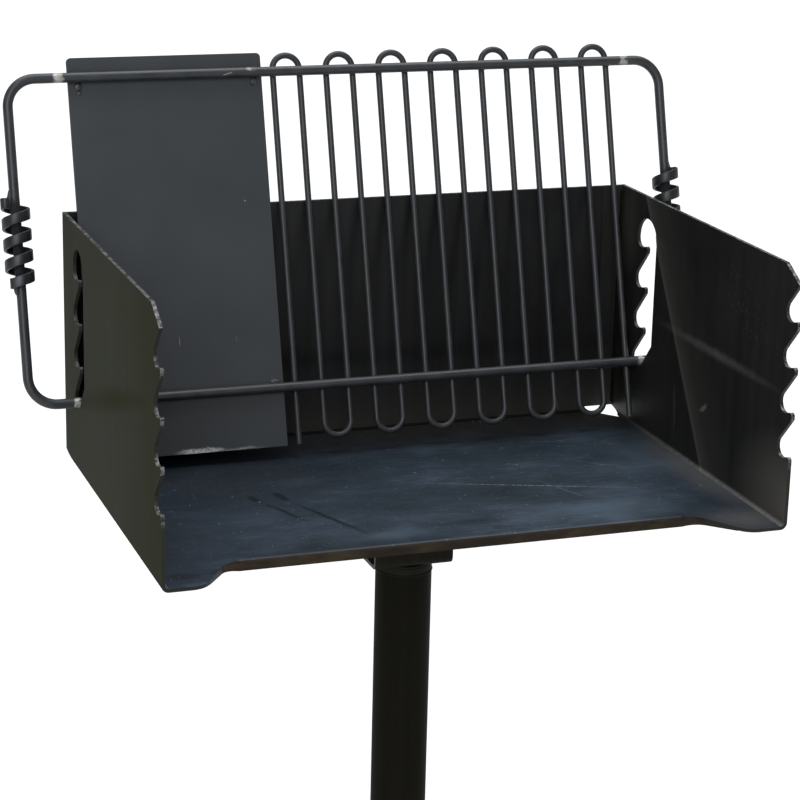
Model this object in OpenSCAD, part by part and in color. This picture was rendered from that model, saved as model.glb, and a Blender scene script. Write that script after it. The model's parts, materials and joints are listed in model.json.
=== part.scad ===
// Single-post charcoal park grill: an open-front sheet-steel firebox on a pipe post,
// with a captive tip-back cooking grate held in toothed slots and front hooks.
// Frame: origin on the ground at the middle of the base plate, +Z up, -Y to the front.

/* [Firebox] */
// Outside width, left to right
box_w = 610; // [500:2:720]
// Outside depth, from the rear face of the back panel to the front tips of the sides
box_d = 402; // [396:1:440]
// Outside height, from the underside of the floor to the top edges
box_h = 254; // [250:1:290]
// Thickness of the folded sheet
sheet_t = 3.4; // [2.6:0.1:4.2]
// Inside radius of the folds between floor and sides
fold_r = 3.4; // [2:0.2:6]
// How far the middle of the floor's front edge stands behind the side tips
front_set = 51; // [44:1:70]
// Flat front width of each floor ear
ear_w = 28; // [16:1:40]
// Radius of the two curves in each ear's sweep
sweep_r = 22; // [12:1:26]
// Angle of each ear's sweep to the front edge
sweep_angle = 58; // [45:1:70]
// Depth of the turned-down front lip below the floor's top face
lip_h = 10; // [8:0.5:16]
// Sideways run over which the lip fades out along the ear
lip_fade = 38; // [25:1:42]
// Length along the front-to-back direction of the chamfer at each side's top front corner
top_cut_d = 31; // [20:1:40]
// Height of that chamfer
top_cut_h = 17; // [8:1:18]
// Sideways size of the drain cut at each rear corner of the floor
drain_w = 36; // [20:1:44]
// Front-to-back size of the drain cut
drain_d = 42; // [28:1:46]
// Height the drain cut reaches up the back panel and each side's rear edge
drain_rise = 5; // [4:0.5:12]

/* [Grate levels] */
// Most cooking levels; a lower box has fewer
levels = 4; // [2:1:4]
// Height between two levels
level_pitch = 44; // [40:0.5:46]
// Height of the lowest seat's widest point above the floor
level_low = 75; // [74:0.5:80]
// Radius of the rounded bottom of every seat
seat_r = 10; // [8.5:0.5:11]
// Depth of the front hook notches, from the front edge
notch_d = 24.5; // [23:0.5:30]
// Height of the retaining lip on a front hook above its seat
notch_lip = 4; // [2:0.5:6]
// Height of a front hook's nose
hook_nose = 7.5; // [5:0.5:9]
// Distance from the back panel's rear face to the rear of the slot
slot_set = 47; // [45:0.5:52]
// How far the slot's seats lie below the front hooks' seats
slot_drop = 2.5; // [0:0.5:5]
// Length of the slot's teeth
tooth_l = 25; // [22:0.5:27]
// Rise of a slot tooth's tip above the seat behind it
tooth_lip = 4; // [2:0.5:5]
// Height of a slot tooth's nose
tooth_nose = 7; // [5:0.5:8]
// Rounding of the upper corners of hooks and teeth
nose_r = 3; // [1:0.5:4]
// Clear way in front of the teeth
slot_way = 21; // [16:0.5:26]
// Least height of sheet above the slot
slot_roof = 14; // [8:1:20]
// Length of the flat foot that the rear rail stands on
foot_l = 23; // [21:0.5:26]
// How far the flat foot lies above the round bottom that a seat would have there
foot_rise = 5; // [1:0.5:8]
// Steepness of the ramp in front of the flat foot
ramp_angle = 50; // [40:1:60]

/* [Grate] */
// Diameter of the loop's rod
loop_rod = 10; // [8:0.5:12]
// Spacing of the two rails, centre to centre
rail_gap = 320; // [316:0.5:322]
// Distance from each side of the firebox to the middle of the side rod next to it
side_out = 45; // [36:1:75]
// Sideways offset of the loop from the middle of the firebox
loop_shift = -4; // [-6:0.5:6]
// Bend radius at the loop's corners, to the rod's middle
loop_bend = 28; // [18:1:32]
// Diameter of the serpentine rod
bar_rod = 6.4; // [5:0.2:8]
// Spacing of the serpentine's legs
bar_pitch = 28.4; // [24:0.1:28.8]
// Least gap between the plate's edge and the rod's first leg
plate_gap = 6; // [3:0.5:9.5]
// Reach of the rod and the plate past the front rail
front_reach = 20; // [16:0.5:24]
// Reach of the plate past the rear rail
rear_reach = 60; // [50:0.5:61]
// How much shorter the rod's rear bends are than the plate
bend_short = 4; // [1:0.5:10]
// Width of the solid cooking plate
plate_w = 199; // [120:1:204]
// Thickness of the cooking plate
plate_t = 3.4; // [2.6:0.1:5]
// Corner radius of the cooking plate
plate_r = 2; // [1.5:0.5:20]
// Side clearance between the grate's contents and the firebox's sides
side_gap = 9.5; // [7:0.5:20]

/* [Coil handles] */
// Outside diameter of a coil handle
coil_d = 28.5; // [26:0.5:34]
// Thickness of the flat strip that a coil is wound from
strip_t = 3; // [2:0.2:3.4]
// Width of the strip
strip_w = 10.6; // [7:0.2:13]
// Rise of the strip in one turn
coil_pitch = 20.3; // [16:0.1:24]
// Number of turns
coil_turns = 3.875; // [2.5:0.125:5]
// Bend radius where each end turns in to the rod
coil_end_r = 3.4; // [3:0.1:4]

/* [Swivel mount] */
// Distance from the post's axis to the rear face of the back panel
post_set = 176; // [150:1:210]
// Width of the folded channel under the floor
channel_w = 82; // [70:1:120]
// Height of the channel
channel_h = 78; // [60:1:90]
// Depth of the channel's flanges, front to back
channel_d = 64; // [60:1:80]
// Thickness of the channel
channel_t = 4.8; // [3:0.2:6.4]
// Outside radius of the channel's folds
channel_r = 8; // [7:0.5:10]
// Diameter of the swivel bolt
bolt_d = 16; // [12:1:20]
// Thickness of the bearing washer between post and channel
bearing_t = 2; // [1:0.5:4]

/* [Post and base] */
// Outside diameter of the post
post_d = 57; // [48:0.5:62]
// Wall of the post
post_wall = 3.9; // [2.5:0.1:5.5]
// Length of the post
post_l = 660; // [450:5:900]
// Thickness of the cap on the post's top
cap_t = 8; // [5:0.5:12]
// Side of the square base plate
base_w = 254; // [220:2:320]
// Thickness of the base plate
base_t = 9.5; // [6:0.5:16]
// Corner radius of the base plate
base_r = 12; // [5:1:20]
// Spacing of the anchor holes, both ways
anchor_gap = 203; // [160:1:206]
// Diameter of the anchor holes
anchor_d = 16; // [11:0.5:18]
// Leg of the fillet weld round the post's foot
foot_weld = 7; // [4:0.5:10]

/* [Clearances] */
// Running gap between the moving grate and what it rests on
rest_gap = 0.3; // [0.2:0.05:0.5]
// Radial clearance of the swivel bolt in the channel
bolt_clear = 0.1; // [0.05:0.01:0.1]
// Gap between the channel's lower flange and the washers above and below it
swivel_gap = 0.3; // [0.25:0.05:0.5]

/* [Hidden] */
$fn = 48;
black_paint = "#303234";
floor_paint = "#39414a";
rod_paint = "#404346";
zinc = "#8d9094";
over = 1;                               // how far a cutting shape runs past a face

// Heights of the stack from the ground up
post_top = base_t + post_l;
channel_z = post_top + cap_t + bearing_t + swivel_gap;
floor_z = channel_z + channel_h + sheet_t;   // top face of the firebox floor

// Firebox, seen from its own place: x across, y = 0 at the rear face, z = 0 on the floor
half_w = box_w / 2;
top_z = box_h - sheet_t;
front_mid = box_d - front_set;
fold_out = fold_r + sheet_t;
sweep_straight = (front_set - 2 * sweep_r * (1 - cos(sweep_angle))) / sin(sweep_angle);
sweep_run = 2 * sweep_r * sin(sweep_angle) + sweep_straight * cos(sweep_angle);
sweep_x = half_w - ear_w - sweep_run;   // where the straight middle of the front edge ends
lip_bend = sheet_t + 1.6;               // outside radius of the lip's fold
fold_steps = 8;                         // flats round a quarter fold
seat_steps = 14;                        // flats round a seat
nose_steps = 5;                         // flats round a nose's corner

// Seats, as distances from the rear face and heights above the floor
tooth_tip = slot_set + tooth_l;
slot_front = tooth_tip + slot_way;
slot_low = level_low - slot_drop;       // widest point of the slot's lowest seat
ramp_foot = slot_set + foot_l;
foot_z = slot_low - seat_r + foot_rise;
arch_r = (slot_front - slot_set) / 2;
level_room = box_h - slot_low - arch_r - slot_roof;
level_count = min(levels, 1 + floor(level_room / level_pitch));
hold_r = loop_rod / 2 + rest_gap;
rail_set = ramp_foot - hold_r * tan(ramp_angle / 2);
rail_z = foot_z + hold_r;

// Grate, seen from its own place: x across, y up the grate from rear to front rail,
// z away from the fire, through the rod and plate that lie on the rails
rail_r = loop_rod / 2;
bar_r = bar_rod / 2;
loop_w = box_w + 2 * side_out;
content_w = box_w - 2 * sheet_t - 2 * side_gap;
plate_x = -content_w / 2;
last_leg_x = content_w / 2 - bar_r;
leg_room = content_w - plate_w - plate_gap - bar_rod;
hairpins = floor((leg_room / bar_pitch + 1) / 2);
legs = 2 * hairpins;
first_leg_x = last_leg_x - (legs - 1) * bar_pitch;
bend_r = bar_pitch / 2;
front_bend_y = rail_gap + front_reach - bar_r - bend_r;
rear_bend_y = -rear_reach + bend_short + bar_r + bend_r;
bar_z = rail_r + bar_r;
lean_reach = rail_r + bar_rod + rest_gap;
lean_y = rail_set - sheet_t;
lean_z = top_z - rail_z;
rest_lean = atan2(lean_y, lean_z) - asin(lean_reach / norm([lean_y, lean_z]));
tip_end = 90 + rest_lean - asin((top_z + hold_r - rail_z) / rail_gap);
echo(rest_lean_deg = rest_lean, tip_range_deg = tip_end);
echo(rail_axis_mm = [0, post_set - rail_set, floor_z + rail_z]);

// Coil handles, round a side rod
coil_r = (coil_d - strip_t) / 2;
end_turn = acos(-coil_end_r / (coil_r - coil_end_r));
end_in = rail_r + 0.05;                 // where the strip's ends stop short of the rod's middle
coil_steps = 16;                        // rings in one turn
bend_steps = 5;                         // rings in each end's bend
coil_mid = rail_gap / 2;
coil_rise = coil_turns * coil_pitch;
lens_l = 9;                             // length of the weld that tapers along the side rod
lens_r = 3.2;
lens_tip = 0.4;

// Swivel hardware, in proportion to its bolt
washer_t = 3;
washer_d = 2.1 * bolt_d;
hex_d = 1.73 * bolt_d;
head_h = 0.65 * bolt_d;
nut_h = bolt_d;
thread_out = 3;                         // how far the bolt stands out of its nut
washer_z = channel_z + channel_t + swivel_gap;
nut_z = washer_z + washer_t;
bolt_tip = nut_z + nut_h + thread_out;

// Places a shape drawn in the firebox's own frame
module in_firebox() {
    translate([0, post_set, floor_z]) children();
}

// Places a shape drawn in the grate's own frame at its tipped-back rest
module in_grate() {
    in_firebox() translate([0, -rail_set, rail_z]) rotate([90 - rest_lean, 0, 0])
        mirror([0, 0, 1]) children();
}

// Pushes an outline drawn in (y, z) right through both sides of the firebox
module through_sides() {
    translate([-half_w - over, 0, 0]) rotate([90, 0, 90]) linear_extrude(box_w + 2 * over) children();
}

// Runs an outline drawn in (y, z) along x, centred
module along_x(length) {
    translate([-length / 2, 0, 0]) rotate([90, 0, 90]) linear_extrude(length) children();
}

function arc(c, r, a0, a1, n) = [for (i = [0:n]) let (a = a0 + (a1 - a0) * i / n) c + r * [cos(a), sin(a)]];

// Direction from a circle's middle to where a line from p touches it, on the side given by turn
function touch_angle(p, c, r, turn) =
    let (v = p - c)
    atan2(v[1], v[0]) + turn * acos(r / norm(v));

// Cross-section of the floor and both sides, folded from one sheet
module u_section() {
    left = [-half_w + fold_out, fold_r];
    right = [half_w - fold_out, fold_r];
    polygon(concat(
        [[-half_w, top_z]],
        arc(left, fold_out, 180, 270, fold_steps), arc(right, fold_out, 270, 360, fold_steps),
        [[half_w, top_z], [half_w - sheet_t, top_z]],
        arc(right, fold_r, 360, 270, fold_steps), arc(left, fold_r, 270, 180, fold_steps),
        [[-half_w + sheet_t, top_z]]
    ));
}

// Right half of the floor's front edge, set in by a distance; y is forward-negative
function sweep_pts(inset) =
    let (
        c1 = [sweep_x, -front_mid - sweep_r],
        c2 = [half_w - ear_w, -box_d + sweep_r],
        a0 = 90, a1 = 90 - sweep_angle
    )
    concat(arc(c1, sweep_r + inset, a0, a1, 8), arc(c2, sweep_r - inset, a1 + 180, 270, 8));

module front_opening() {
    right = sweep_pts(0);
    left = [for (i = [len(right) - 1:-1:0]) [-right[i][0], right[i][1]]];
    far = -box_d - over;
    polygon(concat([[-half_w + ear_w, far]], left, right, [[half_w - ear_w, far]]));
}

// Rounded upper corner of a hook or tooth: from its upright nose into a line that rises or falls at an angle
function nose_corner(tip, angle) =
    let (
        half = (90 + angle) / 2,
        reach = nose_r * tan(90 - half),
        c = tip + [nose_r, -reach]
    )
    arc(c, nose_r, 180, 90 + angle, nose_steps);

// Edge of one rounded seat, from the nose in front of it round the back to the angle where it ends
function seat_edge(c, tip, end) =
    let (
        start = touch_angle(tip, c, seat_r, 1),
        fall = start + 90
    )
    concat(nose_corner(tip, fall), arc(c, seat_r, start, end, seat_steps));

module hook_notch(level) {
    z = level_low + level * level_pitch;
    c = [-(box_d - notch_d + seat_r), z];
    tip = [-box_d, z - seat_r + notch_lip];
    top = [-box_d, z + level_pitch - seat_r + notch_lip - hook_nose];
    edge = seat_edge(c, tip, touch_angle(top, c, seat_r, -1));
    polygon(concat([edge[0] - [over, 0]], edge, [top, top - [over, 0]]));
}

// Rear edge of the slot at one level: over the tooth, round the seat and up to the next tooth's nose
function slot_seat(level) =
    let (
        z = slot_low + level * level_pitch,
        c = [-(slot_set + seat_r), z],
        tip = [-tooth_tip, z - seat_r + tooth_lip],
        top = tip + [0, level_pitch - tooth_nose],
        end = level < level_count - 1 ? touch_angle(top, c, seat_r, -1) : 0,
        foot_angle = asin((foot_rise - seat_r) / seat_r)
    )
    concat(
        level == 0 ? arc(c, seat_r, foot_angle, end, seat_steps) : seat_edge(c, tip, end),
        level < level_count - 1 ? [top] : []
    );

// Toothed slot for the rear rail: seats behind, a clear way in front, an arch on top and a ramp below
module grate_slot() {
    arch_z = slot_low + (level_count - 1) * level_pitch;
    arch = arc([-slot_set - arch_r, arch_z], arch_r, 0, 180, 2 * seat_steps);
    ramp_top = foot_z + (slot_front - ramp_foot) * tan(ramp_angle);
    polygon(concat(
        [[-ramp_foot, foot_z]], [for (k = [0:level_count - 1]) each slot_seat(k)],
        [for (i = [1:len(arch) - 1]) arch[i]], [[-slot_front, ramp_top]]
    ));
}

module top_chamfer() {
    polygon([
        [-(box_d - top_cut_d), top_z], [-box_d, top_z - top_cut_h], [-box_d - over, top_z - top_cut_h],
        [-box_d - over, top_z + over], [-(box_d - top_cut_d), top_z + over]
    ]);
}

// Straight middle of the turned-down lip: a rounded fold and a short flange
module lip_section() {
    c = [-front_mid + lip_bend, -lip_bend];
    polygon(concat(
        arc(c, lip_bend, 90, 180, fold_steps), [[-front_mid, -lip_h], [-front_mid + sheet_t, -lip_h]],
        arc(c, lip_bend - sheet_t, 180, 90, fold_steps)
    ));
}

// End of the lip, which follows the ear's sweep and fades out below the floor
module lip_end() {
    outer = sweep_pts(0);
    inner = sweep_pts(sheet_t);
    strip = concat(outer, [for (i = [len(inner) - 1:-1:0]) inner[i]]);
    end_x = sweep_x + lip_fade;
    lip_tail = 0.4;
    intersection() {
        translate([0, 0, -lip_h]) linear_extrude(lip_h - sheet_t / 2) polygon(strip);
        translate([0, -front_mid + over + sheet_t, 0]) rotate([90, 0, 0]) linear_extrude(front_set + 2 * over)
            polygon([[sweep_x, -lip_h], [sweep_x, 0], [end_x, 0], [end_x, -sheet_t - lip_tail]]);
    }
}

module floor_fold_relief() {
    translate([-sweep_x, -front_mid, -sheet_t - over]) cube([2 * sweep_x, lip_bend, sheet_t + 2 * over]);
}

// Drain cut at a rear corner: across the floor, then up through the fold into the side
module drain_floor() {
    flat_x = half_w - fold_out;
    flat_y = -drain_d * (1 - fold_out / drain_w);
    translate([0, 0, -sheet_t - over]) linear_extrude(sheet_t + 2 * over)
        polygon([[half_w - drain_w, over], [half_w - drain_w, 0], [flat_x, flat_y], [flat_x, over]]);
}

module drain_fold() {
    below = -sheet_t - over;
    translate([half_w - fold_out, 0, 0]) rotate([90, 0, 90]) linear_extrude(fold_out + over)
        polygon([[over, below], [-drain_d, below], [-drain_d, -sheet_t], [over, drain_rise]]);
}

module firebox_sheet() {
    difference() {
        union() {
            difference() {
                rotate([90, 0, 0]) linear_extrude(box_d) u_section();
                translate([0, 0, -sheet_t - over]) linear_extrude(sheet_t + 2 * over) front_opening();
                floor_fold_relief();
            }
            along_x(2 * sweep_x) lip_section();
            lip_end();
            mirror([1, 0, 0]) lip_end();
        }
        through_sides() {
            for (k = [0:level_count - 1]) hook_notch(k);
            grate_slot();
            top_chamfer();
        }
        // rear edge of the floor stops at the back panel
        translate([-half_w + sheet_t, -sheet_t, -sheet_t - over])
            cube([box_w - 2 * sheet_t, sheet_t + over, fold_out + over]);
        drain_floor();
        mirror([1, 0, 0]) drain_floor();
        drain_fold();
        mirror([1, 0, 0]) drain_fold();
    }
}

module firebox_shell() {
    color(black_paint) in_firebox() firebox_sheet();
}

// Back sheet, set between the sides and behind the floor's rear edge, notched over the drain cuts
module back_panel() {
    inner_w = box_w - 2 * sheet_t;
    low = -sheet_t;
    color(black_paint) in_firebox() difference() {
        translate([-inner_w / 2, -sheet_t, low]) cube([inner_w, sheet_t, box_h]);
        for (s = [-1, 1]) translate([s * half_w, 0, low])
            cube([2 * drain_w, 3 * sheet_t, 2 * (drain_rise - low)], center = true);
    }
}

// Section of a bead in a right-angled inside corner
module quarter(leg) {
    intersection() {
        circle(leg, $fn = 32);
        square(leg);
    }
}

// Bead along x, on the front or rear side and above or below its corner
module quarter_bead(length, leg, y_side, z_side) {
    along_x(length) scale([y_side, z_side]) quarter(leg);
}

// Seams of the back panel: one bead up each rear corner and one along the floor
module corner_welds() {
    bead = 3;
    seam = box_w - 2 * drain_w - 2 * over;
    foot = drain_rise + over;
    rise = top_z - foot - bead;
    color(black_paint) in_firebox() {
        translate([0, -sheet_t, 0]) quarter_bead(seam, bead, -1, 1);
        for (s = [-1, 1]) translate([s * (half_w - sheet_t), -sheet_t, foot])
            linear_extrude(rise) scale([-s, -1]) quarter(bead);
    }
}

// Channel folded from thick plate, open to the rear: top flange under the floor, bottom one on the post
module channel_section() {
    hd = channel_d / 2;
    inner_r = channel_r - channel_t;
    difference() {
        union() {
            translate([-hd + channel_r, 0]) square([channel_d - channel_r, channel_h]);
            translate([-hd, channel_r]) square([channel_d, channel_h - 2 * channel_r]);
            for (z = [channel_r, channel_h - channel_r]) translate([-hd + channel_r, z]) circle(channel_r);
        }
        translate([-hd + channel_r, channel_t]) square([channel_d, channel_h - 2 * channel_t]);
        translate([-hd + channel_t, channel_r]) square([channel_d, channel_h - 2 * channel_r]);
        for (z = [channel_r, channel_h - channel_r]) translate([-hd + channel_r, z]) circle(inner_r);
    }
}

module mounting_channel() {
    color(black_paint) difference() {
        translate([0, 0, channel_z]) along_x(channel_w) channel_section();
        translate([0, 0, channel_z - over]) cylinder(h = channel_t + 2 * over, r = bolt_d / 2 + bolt_clear);
    }
}

// Beads along the channel's ends and rear edge, under the firebox floor
module channel_welds() {
    bead = 4;
    end_gap = 5;                        // bare length at each end of a bead
    top = channel_z + channel_h;
    hd = channel_d / 2;
    side_l = channel_d - channel_r - end_gap;
    color(black_paint) {
        translate([0, hd, top]) quarter_bead(channel_w - 2 * end_gap, bead, 1, -1);
        for (s = [-1, 1]) translate([s * channel_w / 2, channel_r / 2, top]) rotate([0, 0, -s * 90])
            quarter_bead(side_l, bead, 1, -1);
    }
}

module base_plate() {
    inset = base_w / 2 - base_r;
    color(black_paint) difference() {
        linear_extrude(base_t) union() {
            square([base_w, 2 * inset], center = true);
            square([2 * inset, base_w], center = true);
            for (x = [-inset, inset], y = [-inset, inset]) translate([x, y]) circle(base_r);
        }
        for (x = [-1, 1], y = [-1, 1]) translate([x * anchor_gap / 2, y * anchor_gap / 2, -over])
            cylinder(h = base_t + 2 * over, d = anchor_d);
    }
}

module foot_weld_ring() {
    color(black_paint) translate([0, 0, base_t]) rotate_extrude() translate([post_d / 2, 0])
        polygon([[0, 0], [foot_weld, 0], [0, foot_weld]]);
}

module post_pipe() {
    color(black_paint) translate([0, 0, base_t]) rotate_extrude()
        translate([post_d / 2 - post_wall, 0]) square([post_wall, post_l]);
}

// Cap that closes the post's top and carries the swivel bolt
module post_cap() {
    color(black_paint) translate([0, 0, post_top]) rotate_extrude()
        translate([bolt_d / 2, 0]) square([(post_d - bolt_d) / 2, cap_t]);
}

module cap_weld() {
    bead = 1.6;
    color(black_paint) translate([0, 0, post_top]) rotate_extrude() translate([post_d / 2, 0])
        intersection() {
            circle(bead, $fn = 24);
            translate([0, -bead]) square([bead, 2 * bead]);
        }
}

// Bolt up through the cap, with its head inside the post
module swivel_bolt() {
    chamfer = 1.5;
    bolt_r = bolt_d / 2;
    shank_l = bolt_tip - post_top + head_h - chamfer;
    color(zinc) translate([0, 0, post_top - head_h]) {
        cylinder(h = head_h, d = hex_d, $fn = 6);
        cylinder(h = shank_l, r = bolt_r);
        translate([0, 0, shank_l]) cylinder(h = chamfer, r1 = bolt_r, r2 = bolt_r - chamfer);
    }
}

module flat_ring(z, inner_d, outer_d, t) {
    translate([0, 0, z]) rotate_extrude()
        translate([inner_d / 2, 0]) square([(outer_d - inner_d) / 2, t]);
}

module bearing_washer() {
    color(zinc) flat_ring(post_top + cap_t, bolt_d + 2 * bolt_clear, post_d, bearing_t);
}

module nut_washer() {
    color(zinc) flat_ring(washer_z, bolt_d, washer_d, washer_t);
}

module lock_nut() {
    collar_h = 0.3 * nut_h;
    color(zinc) translate([0, 0, nut_z]) difference() {
        union() {
            cylinder(h = nut_h - collar_h, d = hex_d, $fn = 6);
            cylinder(h = nut_h, d = 0.8 * hex_d);
        }
        translate([0, 0, -over]) cylinder(h = nut_h + 2 * over, d = bolt_d);
    }
}

// Straight rod from p along x or y, lying flat in the grate's frame
module rod_x(p, length, r) {
    translate(p) rotate([0, 90, 0]) cylinder(h = length, r = r, center = true);
}

module rod_y(p, length, r) {
    translate(p) rotate([-90, 0, 0]) cylinder(h = length, r = r);
}

// Bent rod: part of a ring in the grate's plane
module rod_bend(c, bend, r, a0, span) {
    translate(c) rotate([0, 0, a0]) rotate_extrude(angle = span) translate([bend, 0]) circle(r);
}

// Closed loop: rear rail, front rail and the two side rods that carry the handles
module loop_frame() {
    hx = loop_w / 2 - loop_bend;
    color(rod_paint) in_grate() translate([loop_shift, 0, 0]) {
        for (y = [0, rail_gap]) rod_x([0, y, 0], 2 * hx, rail_r);
        for (s = [-1, 1]) rod_y([s * loop_w / 2, loop_bend, 0], rail_gap - 2 * loop_bend, rail_r);
        rod_bend([hx, loop_bend, 0], loop_bend, rail_r, 270, 90);
        rod_bend([hx, rail_gap - loop_bend, 0], loop_bend, rail_r, 0, 90);
        rod_bend([-hx, rail_gap - loop_bend, 0], loop_bend, rail_r, 90, 90);
        rod_bend([-hx, loop_bend, 0], loop_bend, rail_r, 180, 90);
    }
}

// One rod bent to and fro into hairpins, lying across both rails; the outer legs run on to its free ends
module serpentine_rod() {
    free_end = -rear_reach + 1;
    color(rod_paint) in_grate() {
        for (i = [0:legs - 1]) {
            foot = i == 0 || i == legs - 1 ? free_end : rear_bend_y;
            rod_y([first_leg_x + i * bar_pitch, foot, bar_z], front_bend_y - foot, bar_r);
        }
        for (i = [0:hairpins - 1])
            rod_bend([first_leg_x + (2 * i + 0.5) * bar_pitch, front_bend_y, bar_z], bend_r, bar_r, 0, 180);
        for (i = [0:hairpins - 2])
            rod_bend([first_leg_x + (2 * i + 1.5) * bar_pitch, rear_bend_y, bar_z], bend_r, bar_r, 180, 180);
    }
}

module cooking_plate() {
    l = rail_gap + front_reach + rear_reach;
    color(rod_paint) in_grate() translate([plate_x, -rear_reach, rail_r]) linear_extrude(plate_t) union() {
        translate([plate_r, 0]) square([plate_w - 2 * plate_r, l]);
        translate([0, plate_r]) square([plate_w, l - 2 * plate_r]);
        for (x = [plate_r, plate_w - plate_r], y = [plate_r, l - plate_r]) translate([x, y]) circle(plate_r);
    }
}

// Short beads in the corner between the plate's underside and each rail
module plate_welds() {
    bead = 3.2;
    length = 11;
    set_in = 10;
    color(rod_paint) in_grate() for (s = [-1, 1], x = [plate_x + set_in, plate_x + plate_w - set_in])
        translate([x, rail_gap / 2 - s * rail_gap / 2, 0]) difference() {
            intersection() {
                rod_x([0, s * (rail_r - 0.6), rail_r], length, bead);
                translate([-length, -2 * rail_r, 0]) cube([2 * length, 4 * rail_r, rail_r]);
            }
            rod_x([0, 0, 0], 2 * length, rail_r);
        }
}

// Small saddle of weld where a leg crosses a rail, open at the point where the two rods touch
// and cut off where the leg starts to bend
module crossing_welds(y) {
    saddle = 4.4;
    touch_r = 0.8;
    for (i = [0:legs - 1]) {
        x = first_leg_x + i * bar_pitch;
        difference() {
            translate([x, y, rail_r]) sphere(saddle, $fn = 32);
            rod_x([x, y, 0], 3 * saddle, rail_r);
            rod_y([x, y - 2 * saddle, bar_z], 4 * saddle, bar_r);
            translate([x, y, 0]) cylinder(h = bar_z, r = touch_r);
            translate([x - 2 * saddle, front_bend_y, 0]) cube(4 * saddle);
        }
    }
}

module front_rail_welds() {
    color(rod_paint) in_grate() crossing_welds(rail_gap);
}

module rear_rail_welds() {
    color(rod_paint) in_grate() crossing_welds(0);
}

// Middle line of the wound strip as [x, y, facing, rise], from the lower end up:
// straight out from the rod, a bend, the turns, a bend, and straight in again
function end_line(a, rise, turn) =
    let (
        c = coil_r - coil_end_r,
        far = end_turn,
        lead = atan2(coil_end_r * sin(far), c + coil_end_r * cos(far))
    )
    concat(
        [for (i = [1:bend_steps]) let (b = far * i / bend_steps) [
            c * cos(a) + coil_end_r * cos(a + turn * b), c * sin(a) + coil_end_r * sin(a + turn * b),
            a + turn * b, rise
        ]],
        [[end_in * cos(a + turn * lead), end_in * sin(a + turn * lead), a + turn * far, rise]]
    );
function coil_line() =
    let (
        n = round(coil_turns * coil_steps),
        first = -360 * n / coil_steps,
        low = end_line(first, 0, -1),
        turns = [for (i = [0:n]) let (a = first + 360 * i / coil_steps)
            [coil_r * cos(a), coil_r * sin(a), a, coil_rise * i / n]]
    )
    concat([for (i = [len(low) - 1:-1:0]) low[i]], turns, end_line(0, coil_rise, 1));

// Section of the strip at one station: six corners, crowned a little on the outside
function strip_ring(p) =
    let (n = [cos(p[2]), sin(p[2])], h = strip_w / 2, t = strip_t / 2, k = 0.25)
    [for (c = [[-t, -h], [t - k, -h], [t, -h * 0.5], [t, h * 0.5], [t - k, h], [-t, h]])
        [p[0] + n[0] * c[0], p[1] + n[1] * c[0], p[3] + c[1]]];

module wound_strip() {
    line = coil_line();
    sides = 6;
    last = len(line) - 1;
    points = [for (p = line) each strip_ring(p)];
    skin = [for (i = [0:last - 1], j = [0:sides - 1])
        let (a = i * sides + j, b = i * sides + (j + 1) % sides)
        each [[a, b, a + sides], [b, b + sides, a + sides]]];
    lid0 = [for (j = [1:sides - 2]) [0, j + 1, j]];
    lid1 = [for (j = [1:sides - 2]) [last * sides, last * sides + j, last * sides + j + 1]];
    polyhedron(points, concat(skin, lid0, lid1));
}

// Least gap between neighbouring turns, measured on the strip's own corners
line_pts = coil_line();
turn_gap = min([for (i = [0:len(line_pts) - 1], j = [i + coil_steps - 4:len(line_pts) - 1])
    let (flat = norm([line_pts[i][0] - line_pts[j][0], line_pts[i][1] - line_pts[j][1]]))
    if (j > i) norm([max(0, flat - strip_t), max(0, line_pts[j][3] - line_pts[i][3] - strip_w)])]);
echo(coil_least_gap_mm = turn_gap);

// A handle's place on its side rod; its ends face away from the firebox
module on_side_rod(s) {
    in_grate() translate([loop_shift + s * loop_w / 2, coil_mid - coil_rise / 2, 0])
        rotate([-90, 0, 0]) rotate([0, 0, s > 0 ? 0 : 180]) mirror([0, 1, 0]) children();
}

// Weld at each end of a coil, tapering along the side rod
module coil_welds(s) {
    foot = strip_w / 2;
    last = len(line_pts) - 1;
    low = atan2(line_pts[0][1], line_pts[0][0]);
    high = atan2(line_pts[last][1], line_pts[last][0]);
    color(rod_paint) on_side_rod(s) difference() {
        union() {
            rotate([0, 0, high]) translate([rail_r, 0, coil_rise + foot])
                cylinder(h = lens_l, r1 = lens_r, r2 = lens_tip);
            rotate([0, 0, low]) translate([rail_r, 0, -foot - lens_l])
                cylinder(h = lens_l, r1 = lens_tip, r2 = lens_r);
        }
        translate([0, 0, -2 * foot - lens_l]) cylinder(h = coil_rise + 4 * foot + 2 * lens_l, r = rail_r);
    }
}

module left_coil_handle() {
    color(rod_paint) on_side_rod(-1) wound_strip();
}

module right_coil_handle() {
    color(rod_paint) on_side_rod(1) wound_strip();
}

module left_coil_welds() {
    coil_welds(-1);
}

module right_coil_welds() {
    coil_welds(1);
}

base_plate();
foot_weld_ring();
post_pipe();
post_cap();
cap_weld();
swivel_bolt();
bearing_washer();
nut_washer();
lock_nut();
mounting_channel();
channel_welds();
firebox_shell();
back_panel();
corner_welds();
loop_frame();
serpentine_rod();
cooking_plate();
plate_welds();
front_rail_welds();
rear_rail_welds();
left_coil_handle();
right_coil_handle();
left_coil_welds();
right_coil_welds();
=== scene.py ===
"""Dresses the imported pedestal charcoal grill: firebox, tip-back grate, coil handles, swivel and post."""

import json
import math
import bmesh
import bpy
from mathutils import Matrix, Vector, noise


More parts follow.
